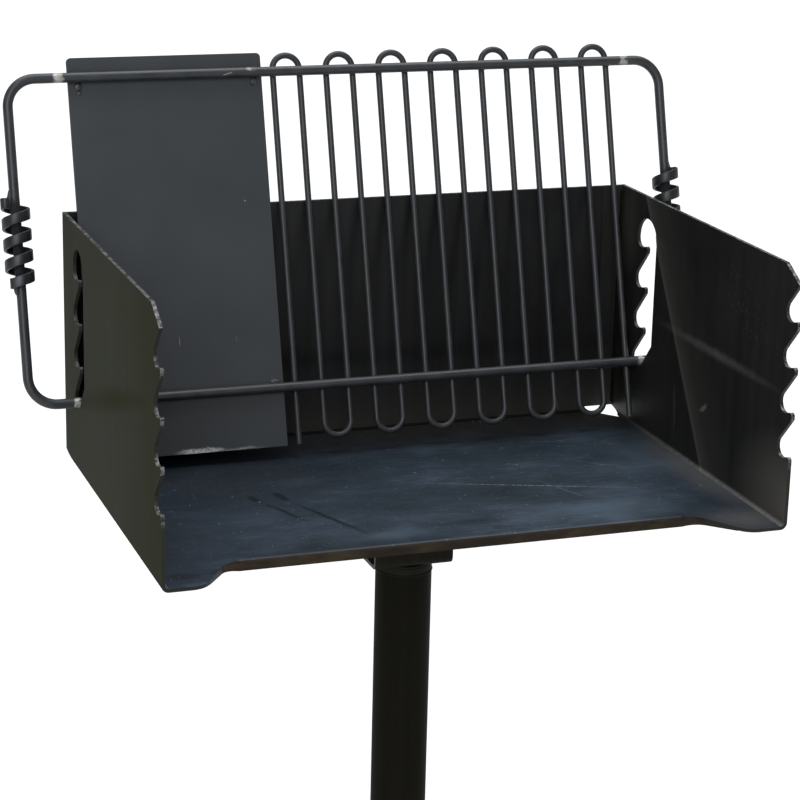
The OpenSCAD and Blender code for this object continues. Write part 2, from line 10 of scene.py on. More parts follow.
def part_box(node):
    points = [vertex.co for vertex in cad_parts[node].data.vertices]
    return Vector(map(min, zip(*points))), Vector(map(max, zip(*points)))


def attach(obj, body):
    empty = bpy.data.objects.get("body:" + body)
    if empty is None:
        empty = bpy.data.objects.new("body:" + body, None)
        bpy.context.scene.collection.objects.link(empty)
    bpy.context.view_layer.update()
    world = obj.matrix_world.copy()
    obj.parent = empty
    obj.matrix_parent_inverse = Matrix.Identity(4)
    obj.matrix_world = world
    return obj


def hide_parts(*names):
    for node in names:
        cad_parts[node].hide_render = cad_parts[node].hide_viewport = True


bl_info = {
    "name": "Pedestal charcoal grill",
    "version": (1, 0, 0),
    "blender": (4, 5, 0),
    "location": "View3D > Sidebar > Grill",
    "description": "Builds the finished surfaces of a single-post charcoal grill round its solid frame",
    "category": "Object",
}

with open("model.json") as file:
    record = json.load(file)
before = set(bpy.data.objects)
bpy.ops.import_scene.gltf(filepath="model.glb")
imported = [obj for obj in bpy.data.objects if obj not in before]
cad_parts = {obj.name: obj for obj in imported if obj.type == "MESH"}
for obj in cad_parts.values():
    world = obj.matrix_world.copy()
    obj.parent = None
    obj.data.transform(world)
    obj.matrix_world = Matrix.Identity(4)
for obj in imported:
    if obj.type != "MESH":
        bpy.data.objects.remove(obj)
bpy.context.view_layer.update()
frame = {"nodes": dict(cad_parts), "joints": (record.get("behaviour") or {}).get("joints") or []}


# Where things are, all from the solid frame

MM = 0.001
SHEET = 3.4  # thickness of the folded sheet, in millimetres
shell_low, shell_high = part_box("firebox_shell")
panel_low, panel_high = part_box("back_panel")
loop_low, loop_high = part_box("loop_frame")
BACK_Y = panel_high.y
WALL_X = shell_high.x
INNER_X = WALL_X - SHEET * MM
TOP_Z = panel_high.z
TIP_Y = shell_low.y
FLOOR_Z = panel_low.z + SHEET * MM
RAIL_AT = next(Vector(joint["pos_m"]) for joint in frame["joints"] if joint["name"] == "grate_tip")


# What a user can change

def a_length(name, description, millimetres):
    """A length, given in millimetres."""
    return bpy.props.FloatProperty(
        name=name, description=description, default=millimetres * MM, unit="LENGTH", precision=5)


def an_angle(name, description, degrees):
    """An angle, given in degrees."""
    return bpy.props.FloatProperty(
        name=name, description=description, default=math.radians(degrees), subtype="ANGLE")


def a_number(name, description, value):
    """A plain number."""
    return bpy.props.FloatProperty(name=name, description=description, default=value)


def a_colour(name, description, code):
    """A colour, as an sRGB hex value."""
    return bpy.props.StringProperty(name=name, description=description, default=code)


class GrillSheetSizes(bpy.types.PropertyGroup):
    """Sizes of the folded firebox, the mount and the post."""
    thickness: a_length("Sheet thickness", "Thickness of the firebox sheet", SHEET)
    edge_round: a_length("Edge rounding", "Rounding of the sheet's cut edges", 0.55)
    plate_round: a_length("Plate edge rounding", "Rounding of thick plate edges", 0.8)
    bead: a_length("Seam bead", "Radius of the seam welds", 2.9)
    ripple: a_length("Weld ripple", "Spacing of the ripples in a weld bead", 2.6)


class GrillGrateSizes(bpy.types.PropertyGroup):
    """Sizes of the grate's rods, plate and coils. Places are measured up the grate from its rear rail."""
    lean: an_angle("Lean", "How far the resting grate leans back past upright", 16.2843)
    loop_rod: a_length("Loop rod", "Diameter of the loop's rod", 10)
    rail_gap: a_length("Rail spacing", "Distance between the two rails", 320)
    loop_width: a_length("Loop width", "Distance between the two side rods", 700)
    loop_shift: a_length("Loop offset", "Sideways offset of the loop", -4)
    loop_bend: a_length("Loop bend", "Bend radius of the loop's corners", 28)
    bar_rod: a_length("Hairpin rod", "Diameter of the hairpin rod", 6.4)
    bar_pitch: a_length("Leg spacing", "Spacing of the hairpin rod's legs", 28.4)
    hairpins: bpy.props.IntProperty(
        name="Hairpins", description="Number of hairpins along the front rail", default=7, min=1, max=7)
    last_leg: a_length("Last leg", "Place of the last leg to the right of the middle", 288.9)
    front_bend: a_length("Front bends", "Place of the front hairpins' middles", 322.6)
    rear_bend: a_length("Rear bends", "Place of the rear hairpins' middles", -38.6)
    free_end: a_length("Free ends", "Place of the rod's two free ends", -59)
    plate_top: a_length("Plate top", "Place of the cooking plate's upper edge", 340)
    plate_foot: a_length("Plate foot", "Place of the cooking plate's lower edge", -60)
    plate_corner: a_length("Plate corners", "Radius of the plate's upper corners", 4.5)
    coil: a_length("Coil diameter", "Outside diameter of a coil handle", 28.5)
    strip: a_length("Strip thickness", "Thickness of the handles' flat strip", 3)
    strip_width: a_length("Strip width", "Width of the handles' flat strip", 10.6)
    coil_pitch: a_length("Coil rise", "Rise of the strip in one turn", 20.3)
    coil_turns: a_number("Coil turns", "Number of turns in a handle", 3.875)
    coil_end: a_length("Coil end bend", "Bend radius of the strip's turned-in ends", 3.4)


class GrillColours(bpy.types.PropertyGroup):
    """Colours of the finishes, as sRGB hex values."""
    # the olive tint of the outside colour is a painted reflection of green surroundings
    outside: a_colour("Outside paint", "Black paint on the firebox's outside", "292a23")
    inside: a_colour("Inside paint", "Black paint inside the firebox", "0a0a0a")
    # the blue in the floor and scuff colours is a painted reflection of the sky
    floor: a_colour("Floor paint", "Scuffed paint on the firebox floor", "1f272f")
    scuff: a_colour("Scuffs", "Pale scuffs on the floor", "2f3a46")
    lip: a_colour("Lip film", "Brown film on the turned-down lip", "201a12")
    steel: a_colour("Bare steel", "Worn steel at cut edges", "b0b0b4")
    rod: a_colour("Rod paint", "Grey-black paint on the rods", "1f2123")
    griddle: a_colour("Griddle paint", "Grey-black paint on the plate", "282b2d")
    post: a_colour("Post paint", "Black paint on the post and base", "0d0c08")
    zinc: a_colour("Zinc", "Zinc on bolt, nut and washers", "9b9ea2")


class GrillStage(bpy.types.PropertyGroup):
    """Camera and studio."""
    place: bpy.props.FloatVectorProperty(
        name="Camera place", description="Camera position in the frame",
        default=(-0.77055, -2.12858, 1.52131), subtype="TRANSLATION")
    yaw: an_angle("Yaw", "Turn to the right", 19.71)
    pitch: an_angle("Pitch", "Tilt downwards", 16.648)
    roll: an_angle("Roll", "Roll of the camera", 1.373)
    lens: a_number("Lens", "Focal length in millimetres on a 36 mm sensor", 107.9)
    floor_size: a_length("Floor size", "Side of the studio floor", 90000)
    sky: a_number("Surround", "Strength of the light from the even white surround", 0.35)
    top_strength: a_number("Top light", "Strength of the wide overhead light", 3.7)
    top_spread: an_angle("Top light spread", "Apparent size of the overhead light", 60)
    front_strength: a_number("Front light", "Strength of the soft light beside the camera", 1.8)
    front_spread: an_angle("Front light spread", "Apparent size of the front light", 35)


# Nodes

def linear(code):
    """sRGB hex to a linear colour with alpha."""
    parts = [int(code[i:i + 2], 16) / 255 for i in (0, 2, 4)]
    return [c / 12.92 if c <= 0.04045 else ((c + 0.055) / 1.055) ** 2.4 for c in parts] + [1.0]


def add(tree, kind, *inputs, named=None, stops=(), **settings):
    """Adds a shader node with its settings, and feeds its inputs in their order on the node, or by name.

    An input is a number, a vector, a hex colour, an output, or a node, which stands for its first output.
    """
    node = tree.nodes.new("ShaderNode" + kind)
    for name, value in settings.items():
        setattr(node, name, value)
    if stops:
        ramp = node.color_ramp
        while len(ramp.elements) < len(stops):
            ramp.elements.new(1.0)
        for element, (place, colour) in zip(ramp.elements, stops):
            element.position = place
            element.color = linear(colour) if isinstance(colour, str) else (colour, colour, colour, 1.0)
    fed = list(zip([socket for socket in node.inputs if socket.enabled], inputs))
    fed += [(node.inputs[name], value) for name, value in (named or {}).items()]
    for socket, value in fed:
        if isinstance(value, bpy.types.Node):
            value = next(output for output in value.outputs if output.enabled)
        if isinstance(value, bpy.types.NodeSocket):
            tree.links.new(value, socket)
        else:
            socket.default_value = linear(value) if isinstance(value, str) else value
    return node


def start_material(name):
    """The empty tree of a new material, and the object's own coordinates in it."""
    material = bpy.data.materials.new(name)
    material.use_nodes = True
    material.node_tree.nodes.clear()
    return material.node_tree, add(material.node_tree, "TexCoord").outputs["Object"]


def close_material(tree, colour, roughness, height=None, depth=0.0, strength=0.0, metallic=0.0, shine=0.5):
    """Puts the surface shader and output on a tree, with a bump of the given depth in metres.

    Roughness is a value, or a noise with the roughness at its low and at its high spots.
    """
    if isinstance(roughness, tuple):
        pattern, low, high = roughness
        roughness = add(tree, "MapRange", pattern, 0.3, 0.7, low, high)
    fed = {"Base Color": colour, "Roughness": roughness, "Metallic": metallic, "Specular IOR Level": shine}
    if height is not None:
        fed["Normal"] = add(tree, "Bump", named={"Height": height, "Distance": depth, "Strength": strength})
    add(tree, "OutputMaterial", add(tree, "BsdfPrincipled", named=fed))


def ragged(tree, where, size, push):
    """Coordinates pushed about by noise, so that a spot drawn on them has an uneven outline."""
    drift = add(tree, "TexNoise", where, 1 / size, 4.0).outputs["Color"]
    centred = add(tree, "VectorMath", drift, (0.5, 0.5, 0.5), operation="SUBTRACT")
    scaled = add(tree, "VectorMath", centred, push, operation="SCALE")
    return add(tree, "VectorMath", where, scaled, operation="ADD")


def spot(tree, where, middle, sizes, turn=(0, 0, 0), soft=0.3, strength=1.0):
    """A spot on the surface, turned by degrees: its strength in the middle, nothing past its half sizes."""
    turned = [math.radians(degrees) for degrees in turn]
    place = add(tree, "Mapping", where, middle, turned, sizes, vector_type="TEXTURE")
    far = add(tree, "VectorMath", place, operation="LENGTH")
    return add(tree, "MapRange", far, soft, 1.0, strength, 0.0, interpolation_type="SMOOTHSTEP")


def floor_line(tree, where, start, end, half_width, soft, strength):
    """A scratch, smear or drift on the firebox floor, from one place to another."""
    start, end = Vector((*start, FLOOR_Z)), Vector((*end, FLOOR_Z))
    along = end - start
    turn = math.degrees(math.atan2(along.y, along.x))
    sizes = (along.length / 2, half_width, 0.02)
    return spot(tree, where, (start + end) / 2, sizes, (0, 0, turn), soft, strength)


def floor_spots(tree, where, marks):
    """Spots on the firebox floor: place, half sizes, soft edge and strength of each."""
    return [
        spot(tree, where, (x, y, FLOOR_Z), (half_x, half_y, 0.05), soft=soft, strength=strength)
        for x, y, half_x, half_y, soft, strength in marks]


def strongest(tree, *marks):
    """The strongest of several marks."""
    top, *others = marks
    for mark in others:
        top = add(tree, "Math", top, mark, operation="MAXIMUM")
    return top


def layered(tree, colour, *layers):
    """A colour with others laid over it in turn, each where its marks are."""
    for over, *marks in layers:
        colour = add(tree, "Mix", strongest(tree, *marks), colour, over, data_type="RGBA")
    return colour


# Finishes

class GRILL_OT_finishes(bpy.types.Operator):
    """Makes every paint and metal finish of the grill"""
    bl_idname = "grill.finishes"
    bl_label = "Finishes"

    def execute(self, context):
        colours = context.scene.grill_colours
        # the outside paint's olive tint is a painted reflection of green surroundings
        sheet_paint("outside_paint", colours.outside, "33342a", 0.66, 0.78, 0.02)
        sheet_paint("post_paint", colours.post, "12110c", 0.55, 0.66, 0.03)
        sheet_paint("channel_paint", "100f0b", "1a1914", 0.55, 0.66, 0.06)
        # a lighter copy of the post paint, which paints light into the channel's shade on the cap, its weld
        # and the bearing washer
        sheet_paint("shade_lifted_cap_paint", "161511", "1c1b17", 0.6, 0.7, 0.05)
        lip_paint(colours)
        inside_paint(colours)
        floor_paint(colours)
        edge_finish("edge_paint", "11110c", "1c1b14", colours.steel, 0.0, 0.35)
        edge_finish("edge_steel", "1c1c17", "2e2e2a", "d6d6d8", 0.06, 1.0)
        rod_paint("rod_paint", colours.rod, "292b2e")
        rod_paint("weld_paint", "161718", "3a3c3f")
        coil_paint("left_coil_paint", -1, context.scene.grill_grate)
        coil_paint("right_coil_paint", 1, context.scene.grill_grate)
        griddle_paint(colours)
        zinc_plate(colours)
        return {"FINISHED"}


def sheet_tone(tree, where, streak_width, contrast):
    """Tone of sprayed paint on rolled sheet: clouds about 90 mm across and fine upright streaks."""
    clouds = add(tree, "TexNoise", where, 11.0, 5.0, 0.6)
    upright = add(tree, "Mapping", where, named={"Scale": (1.0, 1.0, 0.035)})
    streaks = add(tree, "TexNoise", upright, 1 / streak_width, 3.0, 0.6)
    return add(tree, "Mix", contrast, clouds, streaks), clouds


def sheet_paint(name, base, second, smooth, rough, shine):
    """Sprayed black heat paint on mild steel: dull satin, with a faint orange peel and cloudy patches."""
    tree, where = start_material(name)
    tone, clouds = sheet_tone(tree, where, 0.006, 0.45)
    paint = add(tree, "ValToRGB", tone, stops=[(0.36, base), (0.66, second)])
    # the sides darken towards their front edges, and a darker band slanting across them is a painted
    # reflection
    split = add(tree, "SeparateXYZ", where)
    darker = add(tree, "MapRange", split.outputs["Y"], -0.03, -0.20, 0.0, 0.6)
    uneven = ragged(tree, where, 0.02, 0.006)
    slanted_reflections = [
        spot(tree, uneven, (side * WALL_X, -0.090, 0.894), (0.01, 0.24, 0.020), (-16, 0, 0), 0.0, 0.95)
        for side in (-1, 1)]
    colour = layered(tree, paint, ("21220f", darker, *slanted_reflections))
    # orange peel, 1.5 mm
    peel = add(tree, "TexNoise", where, 650.0, 2.0)
    close_material(tree, colour, (clouds, smooth, rough), peel, 0.04 * MM, 0.6, shine=shine)


def lip_paint(colours):
    """Black paint on the turned-down lip, under a brown film of heat-baked dust and rust bloom."""
    tree, where = start_material("lip_paint")
    # the film gathers in streaks about 40 mm long
    stretch = add(tree, "Mapping", where, named={"Scale": (0.35, 1.0, 1.0)})
    film = add(tree, "TexNoise", stretch, 75.0, 5.0)
    colour = add(tree, "ValToRGB", film, stops=[(0.32, "18130d"), (0.52, colours.lip), (0.72, "30281c")])
    grit = add(tree, "TexNoise", where, 700.0, 2.0)
    close_material(tree, colour, (film, 0.5, 0.66), grit, 0.05 * MM, 0.6, shine=0.1)


def inside_paint(colours):
    """The paint inside the firebox: near black behind the grate, paler where hands dulled it, with painted
    light and reflection on the right side.
    """
    tree, where = start_material("inside_paint")
    tone, clouds = sheet_tone(tree, where, 0.011, 0.6)
    paint = add(tree, "ValToRGB", tone, stops=[(0.38, colours.inside), (0.64, "161617")])
    split = add(tree, "SeparateXYZ", where).outputs
    # on the right side painted light and reflection make the film paler forward of a slanting line, most of
    # all close to that line
    slant = add(tree, "VectorMath", where, (0.0, -0.841, 0.540), operation="DOT_PRODUCT")
    reach = add(tree, "MapRange", slant, 0.449, 0.749, 0.0, 1.0)
    paler = add(tree, "ValToRGB", reach, stops=[
        (0.0, 0.09), (0.008, 0.85), (0.03, 0.50), (0.09, 0.28), (0.26, 0.09), (1.0, 0.14)])
    # painted light also at the foot of that side's front edge and at its upper rear corner
    wear_and_painted_light = strongest(
        tree, paler,
        spot(tree, where, (INNER_X, TIP_Y, FLOOR_Z), (0.02, 0.15, 0.12), soft=0.1, strength=0.85),
        spot(tree, where, (INNER_X, 0.150, 0.975), (0.02, 0.04, 0.09), soft=0.1, strength=0.34))
    right = add(tree, "Math", split["X"], WALL_X - 0.025, operation="GREATER_THAN")
    painted_light_right_side = add(tree, "Math", wear_and_painted_light, right, operation="MULTIPLY")
    # the foot of the back panel is paler
    foot = add(tree, "MapRange", split["Z"], FLOOR_Z + 0.075, FLOOR_Z + 0.010, 0.0, 0.55)
    rear = add(tree, "Math", split["Y"], BACK_Y - 0.016, operation="GREATER_THAN")
    paler_foot = add(tree, "Math", foot, rear, operation="MULTIPLY")
    # rub mark of the grate at its second level, a scuff, a long and a short scratch, a dab near the slot
    uneven = ragged(tree, where, 0.012, 0.005)
    scuffs = [
        spot(tree, uneven, (INNER_X, y, z), (0.01, half_y, half_z), (turn, 0, 0), soft, strength)
        for y, z, half_y, half_z, turn, soft, strength in (
            (-0.062, 0.888, 0.17, 0.0078, 0, 0.0, 0.36), (-0.045, 0.826, 0.011, 0.004, -35, 0.3, 0.6),
            (0.020, 0.806, 0.0012, 0.042, -6, 0.3, 0.4), (0.070, 0.969, 0.016, 0.0012, 20, 0.3, 0.22),
            (0.112, 0.833, 0.009, 0.010, 0, 0.3, 0.5))]
    # pale dust along the fold between floor and sides, towards the front
    low = add(tree, "MapRange", split["Z"], FLOOR_Z + 0.0043, FLOOR_Z + 0.0013, 0.0, 0.55)
    front = add(tree, "MapRange", split["Y"], 0.15, -0.06, 0.0, 1.0)
    dust = add(tree, "Math", low, front, operation="MULTIPLY")
    grains = add(tree, "TexNoise", where, 300.0, 4.0, 0.7)
    broken = add(tree, "MapRange", grains, 0.32, 0.62, 0.35, 1.0)
    marks = add(tree, "Math", strongest(tree, *scuffs, dust), broken, operation="MULTIPLY")
    # specks of ash near the front hooks
    flecks = add(tree, "MapRange", grains, 0.60, 0.68, 0.0, 1.0)
    speckled = spot(tree, uneven, (INNER_X, -0.120, 0.950), (0.01, 0.090, 0.045), (25, 0, 0), 0.0, 0.55)
    specks = add(tree, "Math", flecks, speckled, operation="MULTIPLY")
    # painted light on the right side, the paler foot of the back panel, then the marks and specks
    colour = layered(tree, paint, ("4a4844", painted_light_right_side), ("34322f", paler_foot), ("6c6c6a", marks, specks))
    peel = add(tree, "TexNoise", where, 650.0, 2.0)
    close_material(tree, colour, (clouds, 0.42, 0.55), peel, 0.04 * MM, 0.6, shine=0.2)


def floor_paint(colours):
    """The same paint on the firebox floor, rubbed dull, blotchy, smeared and scratched; its bluish slate
    tone is a painted reflection of the sky.
    """
    tree, where = start_material("floor_paint")
    split = add(tree, "SeparateXYZ", where).outputs
    # blotches 60 to 150 mm across, a little longer from side to side, over fine brush marks and speckle
    flatten = add(tree, "Mapping", where, named={"Scale": (0.6, 1.0, 1.0)})
    clouds = add(tree, "TexNoise", flatten, 13.0, 7.0, 0.66)
    brushed = add(tree, "Mapping", where, named={"Scale": (0.09, 1.0, 1.0), "Rotation": (0, 0, 0.04)})
    grain = add(tree, "TexNoise", brushed, 380.0, 4.0, 0.7)
    tone = add(tree, "Mix", 0.36, clouds, grain)
    # the ramp's bluish tones are a painted reflection of the sky
    paint = add(tree, "ValToRGB", tone, stops=[
        (0.36, "192027"), (0.50, colours.floor), (0.64, colours.scuff)])
    # hazy rubbed areas near the front right and in the middle, grey dust thickest on the right ear
    cloudy = ragged(tree, where, 0.05, 0.09)
    haze = floor_spots(tree, cloudy, (
        (0.165, -0.135, 0.120, 0.055, 0.0, 0.52), (0.255, 0.010, 0.060, 0.080, 0.0, 0.35),
        (-0.070, -0.150, 0.080, 0.035, 0.0, 0.42), (-0.190, -0.150, 0.050, 0.018, 0.0, 0.25),
        (-0.262, -0.214, 0.034, 0.009, 0.0, 0.45)))
    dusty = ragged(tree, where, 0.012, 0.012)
    dust = floor_spots(tree, dusty, [(0.285, -0.195, 0.070, 0.050, 0.0, 0.85)])
    dust.append(floor_line(tree, dusty, (0.293, 0.120), (0.300, -0.230), 0.040, 0.1, 0.75))
    # dark smears left by wet drips, spots on the left ear and two dried puddles
    wavy = ragged(tree, where, 0.03, 0.007)
    smears = floor_spots(tree, wavy, (
        (-0.278, -0.199, 0.020, 0.011, 0.3, 0.6), (-0.242, -0.198, 0.017, 0.010, 0.3, 0.5),
        (-0.150, -0.160, 0.080, 0.036, 0.7, 0.3), (0.020, -0.135, 0.050, 0.010, 0.3, 0.4)))
    smears += [floor_line(tree, wavy, *smear) for smear in (
        ((-0.165, -0.004), (-0.159, -0.026), 0.0060, 0.4, 0.9),
        ((-0.161, -0.018), (-0.126, -0.098), 0.0042, 0.3, 0.8),
        ((-0.138, 0.003), (-0.131, -0.034), 0.0062, 0.4, 0.9),
        ((-0.134, -0.022), (-0.078, -0.155), 0.0044, 0.3, 0.9))]
    # scratches, broken up by the grain of the paint, and specks of ash and lost paint, 1 to 2 mm
    grains = add(tree, "TexNoise", where, 420.0, 3.0)
    broken = add(tree, "MapRange", grains, 0.38, 0.58, 0.1, 1.0)
    lines = [floor_line(tree, where, *scratch) for scratch in (
        ((-0.030, 0.002), (0.252, -0.096), 0.0011, 0.0, 0.5),
        ((0.120, -0.020), (0.160, -0.110), 0.0009, 0.0, 0.3),
        ((0.170, 0.030), (0.262, -0.050), 0.0009, 0.0, 0.3))]
    cuts = add(tree, "Math", strongest(tree, *lines), broken, operation="MULTIPLY")
    specks = add(tree, "MapRange", grains, 0.70, 0.77, 0.0, 0.7)
    # towards the back panel a painted reflection of the dark panel darkens the floor, carried further
    # forward on the left as painted shade under the plate, and the left half is darker
    painted_darkening = add(tree, "MapRange", split["Y"], 0.06, 0.15, 0.0, 0.9, interpolation_type="SMOOTHSTEP")
    rear_left = floor_spots(tree, where, [(-0.200, 0.080, 0.240, 0.150, 0.1, 0.6)])
    # darker towards the left, from the middle outwards
    darker_left = add(tree, "MapRange", split["X"], 0.05, -0.28, 0.0, 0.6)
    colour = layered(
        tree, paint, ("1c1b18", painted_darkening, *rear_left), ("0f1924", darker_left), ("424f5b", *haze), ("484848", *dust),
        ("080b0f", *smears), ("9aa1a8", cuts, specks))
    close_material(tree, colour, (clouds, 0.40, 0.55), grain, 0.05 * MM, 0.3, shine=0.17)


def edge_finish(name, base, second, steel, everywhere, wear):
    """Cut sheet edges: dark paint over the cut, rubbed to bare steel where rods and hands touch it."""
    tree, where = start_material(name)
    place = add(tree, "SeparateXYZ", where).outputs
    way = add(tree, "SeparateXYZ", add(tree, "NewGeometry").outputs["Normal"]).outputs
    above_lowest_hook = (place["Z"], FLOOR_Z + 0.056, FLOOR_Z + 0.062, 1.0)
    # each zone is the product of its ramps: what is read, where the wear starts, where it is full, how much
    zones = (
        # the rods drop into the front hooks' seats
        ((place["Y"], TIP_Y + 0.034, TIP_Y + 0.028, 1.0), (way["Z"], 0.15, 0.8, 1.0), above_lowest_hook),
        # and knock their noses
        ((place["Y"], TIP_Y + 0.003, TIP_Y + 0.001, 0.6), above_lowest_hook),
        # seats of the toothed slots
        ((place["Y"], 0.05, 0.06, 0.4), (way["Z"], 0.3, 0.9, 1.0),
         (place["Z"], FLOOR_Z + 0.045, FLOOR_Z + 0.055, 1.0)),
        # top edges
        ((place["Z"], TOP_Z - 0.003, TOP_Z - 0.001, 0.7),),
        # front rim of the floor
        ((place["Z"], FLOOR_Z - 0.0016, FLOOR_Z - 0.0008, 0.4), (way["Z"], 0.1, 0.4, 1.0),
         (place["Z"], FLOOR_Z + 0.004, FLOOR_Z + 0.002, 1.0)))
    handled = []
    for ramps in zones:
        zone, *limits = [
            add(tree, "MapRange", read, start, full, 0.0, most) for read, start, full, most in ramps]
        for limit in limits:
            zone = add(tree, "Math", zone, limit, operation="MULTIPLY")
        handled.append(zone)
    # bare patches 2 to 8 mm long
    patches = add(tree, "TexNoise", where, 170.0, 4.0, 0.7)
    broken = add(tree, "MapRange", patches, 0.44, 0.58, 0.0, wear)
    wear_and_highlight = add(tree, "Math", strongest(tree, *handled), broken, operation="MULTIPLY")
    bare = add(tree, "Math", wear_and_highlight, everywhere, operation="ADD")
    colour = layered(tree, base, (second, patches), (steel, bare))
    metal = add(tree, "Math", bare, 0.4, operation="MULTIPLY")
    grit = add(tree, "TexNoise", where, 900.0, 2.0)
    close_material(tree, colour, 0.5, grit, 0.05 * MM, 0.5, metal, shine=0.2)


def rod_paint(name, base, second):
    """Dipped grey-black paint on round steel rod, rubbed bare in patches where the rails meet the sides."""
    tree, where = start_material(name)
    clouds = add(tree, "TexNoise", where, 55.0, 5.0, 0.6)
    paint = add(tree, "ValToRGB", clouds, stops=[(0.35, base), (0.68, second)])
    # worn patches where the rails rest on the side sheets, and a scratched stretch of the upper rail
    uneven = ragged(tree, where, 0.006, 0.010)
    front_y, front_z = RAIL_AT.y + 0.090, RAIL_AT.z + 0.307
    patches = [
        spot(tree, uneven, (x, y, z), (half_x, 0.012, half_z), soft=soft, strength=strength)
        for x, y, z, half_x, half_z, soft, strength in (
            (-0.3070, RAIL_AT.y, RAIL_AT.z, 0.0070, 0.012, 0.35, 0.85),
            (0.3015, RAIL_AT.y, RAIL_AT.z, 0.0080, 0.012, 0.35, 0.85),
            (-0.3030, front_y, front_z, 0.0110, 0.012, 0.35, 0.95),
            (0.3045, front_y, front_z, 0.0095, 0.012, 0.35, 0.85),
            (-0.106, front_y, front_z + 0.005, 0.013, 0.005, 0.2, 0.7))]
    scratch_at = (-0.1310, front_y - 0.004, front_z)
    scratched = spot(tree, where, scratch_at, (0.0105, 0.012, 0.0009), (0, -17, 0), 0.2, 0.9)
    grains = add(tree, "TexNoise", where, 260.0, 4.0, 0.7)
    raised = add(tree, "Math", grains, strongest(tree, *patches, scratched), operation="ADD")
    bare = add(tree, "MapRange", raised, 0.98, 1.50, 0.0, 0.95)
    # inside the coils the rod is painted darker and duller, as painted shade from the strip wound round it
    coil_y, coil_z = RAIL_AT.y + 0.0449, RAIL_AT.z + 0.1536
    painted_darkening = strongest(tree, *[
        spot(tree, where, (x, coil_y, coil_z), (0.020, 0.020, 0.052), (-16.3, 0, 0), 0.75)
        for x in (loop_low.x + 0.005, loop_high.x - 0.005)])
    colour = layered(tree, paint, ("101114", painted_darkening), ("a3a299", bare))
    metal = add(tree, "Math", bare, 0.5, operation="MULTIPLY")
    gloss = add(tree, "MapRange", clouds, 0.3, 0.7, 0.36, 0.48)
    dull = add(tree, "Math", painted_darkening, 0.85, operation="MULTIPLY")
    close_material(tree, colour, strongest(tree, gloss, dull), grains, 0.06 * MM, 0.5, metal, shine=0.35)


def coil_paint(name, side, sizes):
    """The coils' flat strip: sooty black paint, with a grey highlight painted on each turn."""
    tree, where = start_material(name)
    axis = (sizes.loop_shift + side * sizes.loop_width / 2, RAIL_AT.y, RAIL_AT.z)
    off_axis = add(tree, "VectorMath", where, axis, operation="SUBTRACT")
    # the painted highlight faces forwards and to the left
    forward = add(tree, "VectorMath", off_axis, (-0.33, -0.91, 0.24), operation="DOT_PRODUCT")
    wear_and_highlight = add(tree, "MapRange", forward, 0.0092, 0.0142, 0.0, 1.0, interpolation_type="SMOOTHSTEP")
    patches = add(tree, "TexNoise", where, 150.0, 5.0, 0.7)
    broken = add(tree, "MapRange", patches, 0.30, 0.65, 0.55, 1.0)
    painted_highlight = add(tree, "Math", wear_and_highlight, broken, operation="MULTIPLY")
    # the painted highlight, in grey, over the sooty paint
    colour = layered(tree, "131518", ("5a5e64", painted_highlight))
    metal = add(tree, "Math", painted_highlight, 0.35, operation="MULTIPLY")
    close_material(tree, colour, 0.42, patches, 0.06 * MM, 0.5, metal, shine=0.35)


def griddle_paint(colours):
    """Flat grey-black paint on the solid plate, even and satin, scraped pale along its lower edge."""
    tree, where = start_material("griddle_paint")
    clouds = add(tree, "TexNoise", where, 14.0, 5.0, 0.55)
    paint = add(tree, "ValToRGB", clouds, stops=[(0.30, colours.griddle), (0.72, "2e3134")])
    # two scrapes along the lower edge
    uneven = ragged(tree, where, 0.008, 0.006)
    edge_y, edge_z = RAIL_AT.y - 0.010, RAIL_AT.z - 0.0582
    scrapes = [
        spot(tree, uneven, (-0.184, edge_y, edge_z + 0.0008), (0.030, 0.02, 0.0042), soft=0.4),
        spot(tree, uneven, (-0.148, edge_y, edge_z), (0.040, 0.02, 0.0022), soft=0.1, strength=0.35)]
    # one chip of lost paint and two short upright scratches: place from the rear rail and half sizes
    chips = [
        spot(tree, where, RAIL_AT + Vector(place), (half_x, 0.02, half_z), soft=soft, strength=strength)
        for place, half_x, half_z, soft, strength in (
            ((-0.120, 0.057, 0.182), 0.0012, 0.0012, 0.3, 0.6),
            ((-0.198, 0.016, 0.050), 0.0007, 0.0080, 0.0, 0.35),
            ((-0.139, 0.015, 0.048), 0.0006, 0.0050, 0.0, 0.3))]
    grains = add(tree, "TexNoise", where, 330.0, 4.0, 0.7)
    broken = add(tree, "MapRange", grains, 0.35, 0.6, 0.2, 1.0)
    wear_and_painted_light = add(tree, "Math", strongest(tree, *scrapes, *chips), broken, operation="MULTIPLY")
    colour = layered(tree, paint, ("b4b6b8", wear_and_painted_light))
    peel = add(tree, "TexNoise", where, 700.0, 2.0)
    close_material(tree, colour, (clouds, 0.46, 0.56), peel, 0.03 * MM, 0.5, shine=0.3)


def zinc_plate(colours):
    """Zinc-plated steel fasteners: pale grey, slightly mottled, dulled by weather."""
    tree, where = start_material("zinc_plate")
    spangle = add(tree, "TexNoise", where, 320.0, 3.0)
    colour = add(tree, "ValToRGB", spangle, stops=[(0.3, "6d7074"), (0.7, colours.zinc)])
    close_material(tree, colour, (spangle, 0.32, 0.5), spangle, 0.04 * MM, 0.4, 1.0)


# Shapes

def circle_edges(bm, radius, sides, place):
    """A ring of edges to sweep."""
    made = bmesh.ops.create_circle(bm, cap_ends=False, radius=radius, segments=sides, matrix=place)
    return list(dict.fromkeys(edge for vert in made["verts"] for edge in vert.link_edges))


def ring_verts(edges):
    """The corners of a ring, each once."""
    return list(dict.fromkeys(vert for edge in edges for vert in edge.verts))


